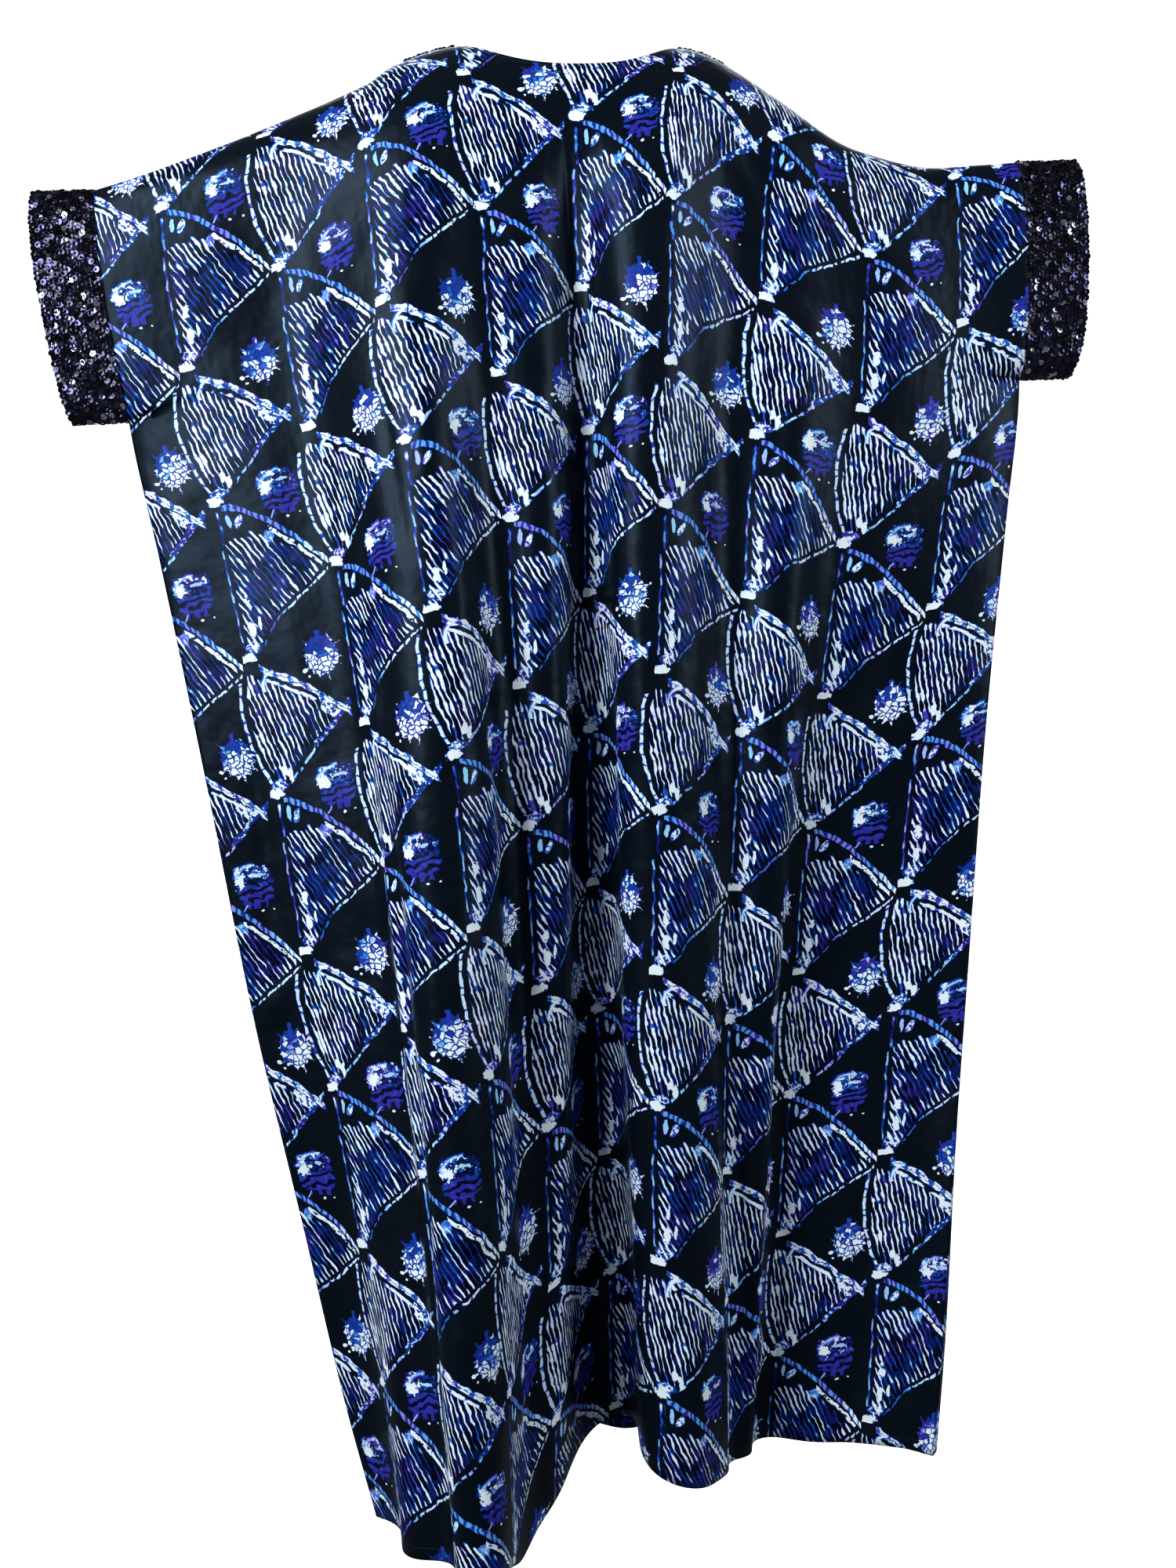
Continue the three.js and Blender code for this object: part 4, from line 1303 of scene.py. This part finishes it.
# Rings of a stitch: their place in stitch lengths and their size in stitch radii.
STITCH_RINGS = np.array([(-0.5, 0.35), (-0.3, 1.0), (0.3, 1.0), (0.5, 0.35)])
HEM_TURN = 11
NECK_TURN = 6
SLEEVE_TURN = 4
SEAM_CLEARANCE = 3
HEM_POINTS = 600
NECK_POINTS = 160
SLEEVE_POINTS = 120


def on_panel(panel, grid, across, fall):
    """Points and normals of places on a panel, between its grid's nearest four."""
    drop = neck_drop(panel, across)
    level = (fall - drop) / (cloth_length(across) - drop)
    j = np.interp(level, grid["level"], np.arange(len(grid["level"])))
    i = np.interp(across, grid["across"], np.arange(len(grid["across"])))
    j0 = np.clip(j.astype(int), 0, len(grid["level"]) - 2)
    i0 = np.clip(i.astype(int), 0, len(grid["across"]) - 2)
    s, t = (j - j0)[:, None], (i - i0)[:, None]

    def blend(values):
        top = values[j0, i0] * (1 - t) + values[j0, i0 + 1] * t
        foot = values[j0 + 1, i0] * (1 - t) + values[j0 + 1, i0 + 1] * t
        return top * (1 - s) + foot * s

    return blend(grid["points"]), blend(grid["normals"])


def stitch_row(points, normals):
    """Evenly spaced stitches along a line of points: centres, directions, normals."""
    run = run_along(points)
    spots = np.arange(STITCH_PITCH / 2, run[-1], STITCH_PITCH)
    centre = between(spots, run, points)
    normal = unit(between(spots, run, normals))
    run_way = between(spots + 0.5, run, points) - centre
    run_way = run_way - normal * (run_way * normal).sum(1, keepdims=True)
    run_way = run_way / np.maximum(np.linalg.norm(run_way, axis=1, keepdims=True), 1e-6)
    return centre + normal * (SHELL / 2 + STITCH_LIFT), run_way, normal


def make_stitches(name, rows, material):
    """All stitches as small beads, from one template."""
    centre, run_way, normal = (np.concatenate(part) for part in zip(*rows))
    angle = np.arange(STITCH_SIDES) * 2 * np.pi / STITCH_SIDES
    place, size = STITCH_RINGS[:, :1] * STITCH_LENGTH, STITCH_RINGS[:, 1:] * STITCH_RADIUS
    template = np.stack([place + 0 * angle, size * np.cos(angle), size * np.sin(angle)], -1)
    quads = grid_faces(len(STITCH_RINGS), STITCH_SIDES, closed=True)[:, ::-1]
    axes = (run_way, np.cross(normal, run_way), normal)
    piece = new_mesh(name, *copies(template.reshape(-1, 3), quads, centre, axes))
    piece.data.materials.append(material)
    print(name, len(centre), "stitches")
    return piece


def panel_stitch_lines(panel, grid):
    """Hem, neck and both sleeve ends of a panel."""
    across = np.linspace(SEAM_CLEARANCE - HALF_WIDTH, HALF_WIDTH - SEAM_CLEARANCE, HEM_POINTS)
    lines = [(across, cloth_length(across) - HEM_TURN)]
    neck = np.linspace(NECK_TURN - HALF_NECK, HALF_NECK - NECK_TURN, NECK_POINTS)
    lines.append((neck, neck_drop(panel, neck) + NECK_TURN))
    for side in (-1, 1):
        down = np.linspace(SLEEVE_TURN, SLEEVE_OPENING - SLEEVE_TURN, SLEEVE_POINTS)
        lines.append((np.full_like(down, side * (HALF_WIDTH - SLEEVE_TURN)), down))
    return [stitch_row(*on_panel(panel, grid, *line)) for line in lines]


thread = plain_material("Thread", (0.012, 0.018, 0.05), 0.55)
back_stitches = make_stitches("Back_stitches", panel_stitch_lines(BACK, back_grid), thread)
front_stitches = make_stitches("Front_stitches", panel_stitch_lines(FRONT, front_grid), thread)

# %% [markdown]
# ## Sequins on the front shoulders
#
# Beside each neck point the rims of a few sequins look over the shoulder line. They
# are sewn to the front panel in two short staggered rows, with the same mesh helper
# as the cuffs.

# %% Shoulder sequins
SHOULDER_ROW_START = HALF_NECK + 2
SHOULDER_ROW_END = HALF_NECK + 50
SHOULDER_ROW_FALLS = (0.6, 4.8)
SHOULDER_PITCH = SEQUIN_PITCH * 0.86
SHOULDER_LIFT = (1.3, 2.1)
SHOULDER_SEED = 12


def make_shoulder_sequins():
    """Two staggered rows beside each neck point, standing off the cloth by a random
    lift each."""
    random = np.random.default_rng(SHOULDER_SEED)
    one_side = np.arange(SHOULDER_ROW_START, SHOULDER_ROW_END, SHOULDER_PITCH)
    across = np.concatenate([one_side, -one_side])
    rows = [across + np.sign(across) * 0.5 * SEQUIN_PITCH * number for number in (0, 1)]
    across = np.concatenate(rows) + random.normal(0, SEQUIN_JITTER, 2 * len(across))
    fall = np.repeat(SHOULDER_ROW_FALLS, len(across) // 2)
    centre, facing = on_panel(FRONT, front_grid, across, fall)
    facing = unit(facing)
    side_way = np.array([1.0, 0.0, 0.0]) - facing * facing[:, :1]
    centre = centre + facing * random.uniform(*SHOULDER_LIFT, len(centre))[:, None]
    return make_sequins("Shoulder_sequins", centre, facing, side_way, random)


shoulder_sequins = make_shoulder_sequins()

# %% [markdown]
# ## The studio
#
# A pale floor and a white surround that only the camera sees, with two large soft
# lights in front and one behind. Satin needs big lights: its gloss is a blurred
# picture of them.

# %% Studio
FLOOR_Z = -1.62
FLOOR_RADIUS = 6
SURROUND_RADIUS = 5.9
SURROUND_TOP = 6
STAGE_SIDES = 96
LIGHT_COLOUR = (0.88, 0.95, 1.0)
WORLD_COLOUR = (0.80, 0.90, 1, 1)
WORLD_STRENGTH = 0.14
# Each light's name, place, height it aims at, width and length, and power.
LIGHTS = (
    ("Key", (-2.0, -1.9, 0.7), -0.6, (1.2, 2.2), 112),
    ("Fill", (2.4, -1.2, 0.2), -0.7, (1.0, 2.2), 44),
    ("Rear", (0.4, 2.4, 1.2), -0.6, (2.0, 1.6), 34),
)


def make_stage(name, rings, capped, tone, glow):
    """Circles of a radius and a height in metres, joined by quads. A cap fills the
    first. The stage glows, so that it stays white where the lights don't reach."""
    angle = np.arange(STAGE_SIDES) * 2 * np.pi / STAGE_SIDES
    points = [[r * math.cos(a), r * math.sin(a), z] for r, z in rings for a in angle]
    faces = [list(range(STAGE_SIDES))] if capped else []
    mesh = bpy.data.meshes.new(name)
    mesh.from_pydata(points, [], faces + grid_faces(len(rings), STAGE_SIDES, closed=True).tolist())
    stage = bpy.data.objects.new(name, mesh)
    bpy.context.scene.collection.objects.link(stage)
    stage.visible_diffuse = False
    stage.visible_glossy = False
    colour = (tone, tone, tone, 1)
    stage.data.materials.append(new_material("Pale " + name.lower(), {
        "Base Color": colour, "Roughness": 0.9, "Emission Color": colour, "Emission Strength": glow,
    })[0])
    return stage


def make_light(name, place, target_z, size, power):
    """A soft rectangle that faces a point on the dress's middle line."""
    data = bpy.data.lights.new(name, "AREA")
    data.shape = "RECTANGLE"
    data.size, data.size_y = size
    data.energy = power
    data.color = LIGHT_COLOUR
    aim = unit(np.array([0, 0, target_z]) - np.array(place))
    side = unit(np.cross(aim, [0, 0, 1]))
    put(data, place, (side, np.cross(side, aim), -aim)).visible_camera = False


floor_rings = ((FLOOR_RADIUS / 2, FLOOR_Z), (FLOOR_RADIUS, FLOOR_Z))
surround_rings = ((SURROUND_RADIUS, FLOOR_Z), (SURROUND_RADIUS, SURROUND_TOP))
floor = make_stage("Floor", floor_rings, capped=True, tone=0.95, glow=1.0)
surround = make_stage("Surround", surround_rings, capped=False, tone=1.0, glow=1.0)
surround.visible_shadow = False
for light in LIGHTS:
    make_light(*light)
world = bpy.data.worlds.new("World")
world.use_nodes = True
background = world.node_tree.nodes["Background"]
background.inputs["Color"].default_value = WORLD_COLOUR
background.inputs["Strength"].default_value = WORLD_STRENGTH
bpy.context.scene.world = world
bpy.context.scene.view_settings.view_transform = "Standard"
print("lights:", len(LIGHTS))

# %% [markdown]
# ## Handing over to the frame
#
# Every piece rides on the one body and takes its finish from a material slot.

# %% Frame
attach(shoulder_sequins, "root")
panels = (
    (back_panel, "back_panel", front_panel, [back_stitches], 1.291),
    (front_panel, "front_panel", back_panel, [front_stitches, shoulder_sequins], 1.280),
)
for piece, node, other, sewn_on, area in panels:
    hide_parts(node)
    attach(piece, "root")
    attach(sewn_on[0], "root")
for cuff, (piece, sequins) in zip(CUFFS, cuff_pieces):
    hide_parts(cuff["node"])
    for part in (piece, sequins):
        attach(part, "root")
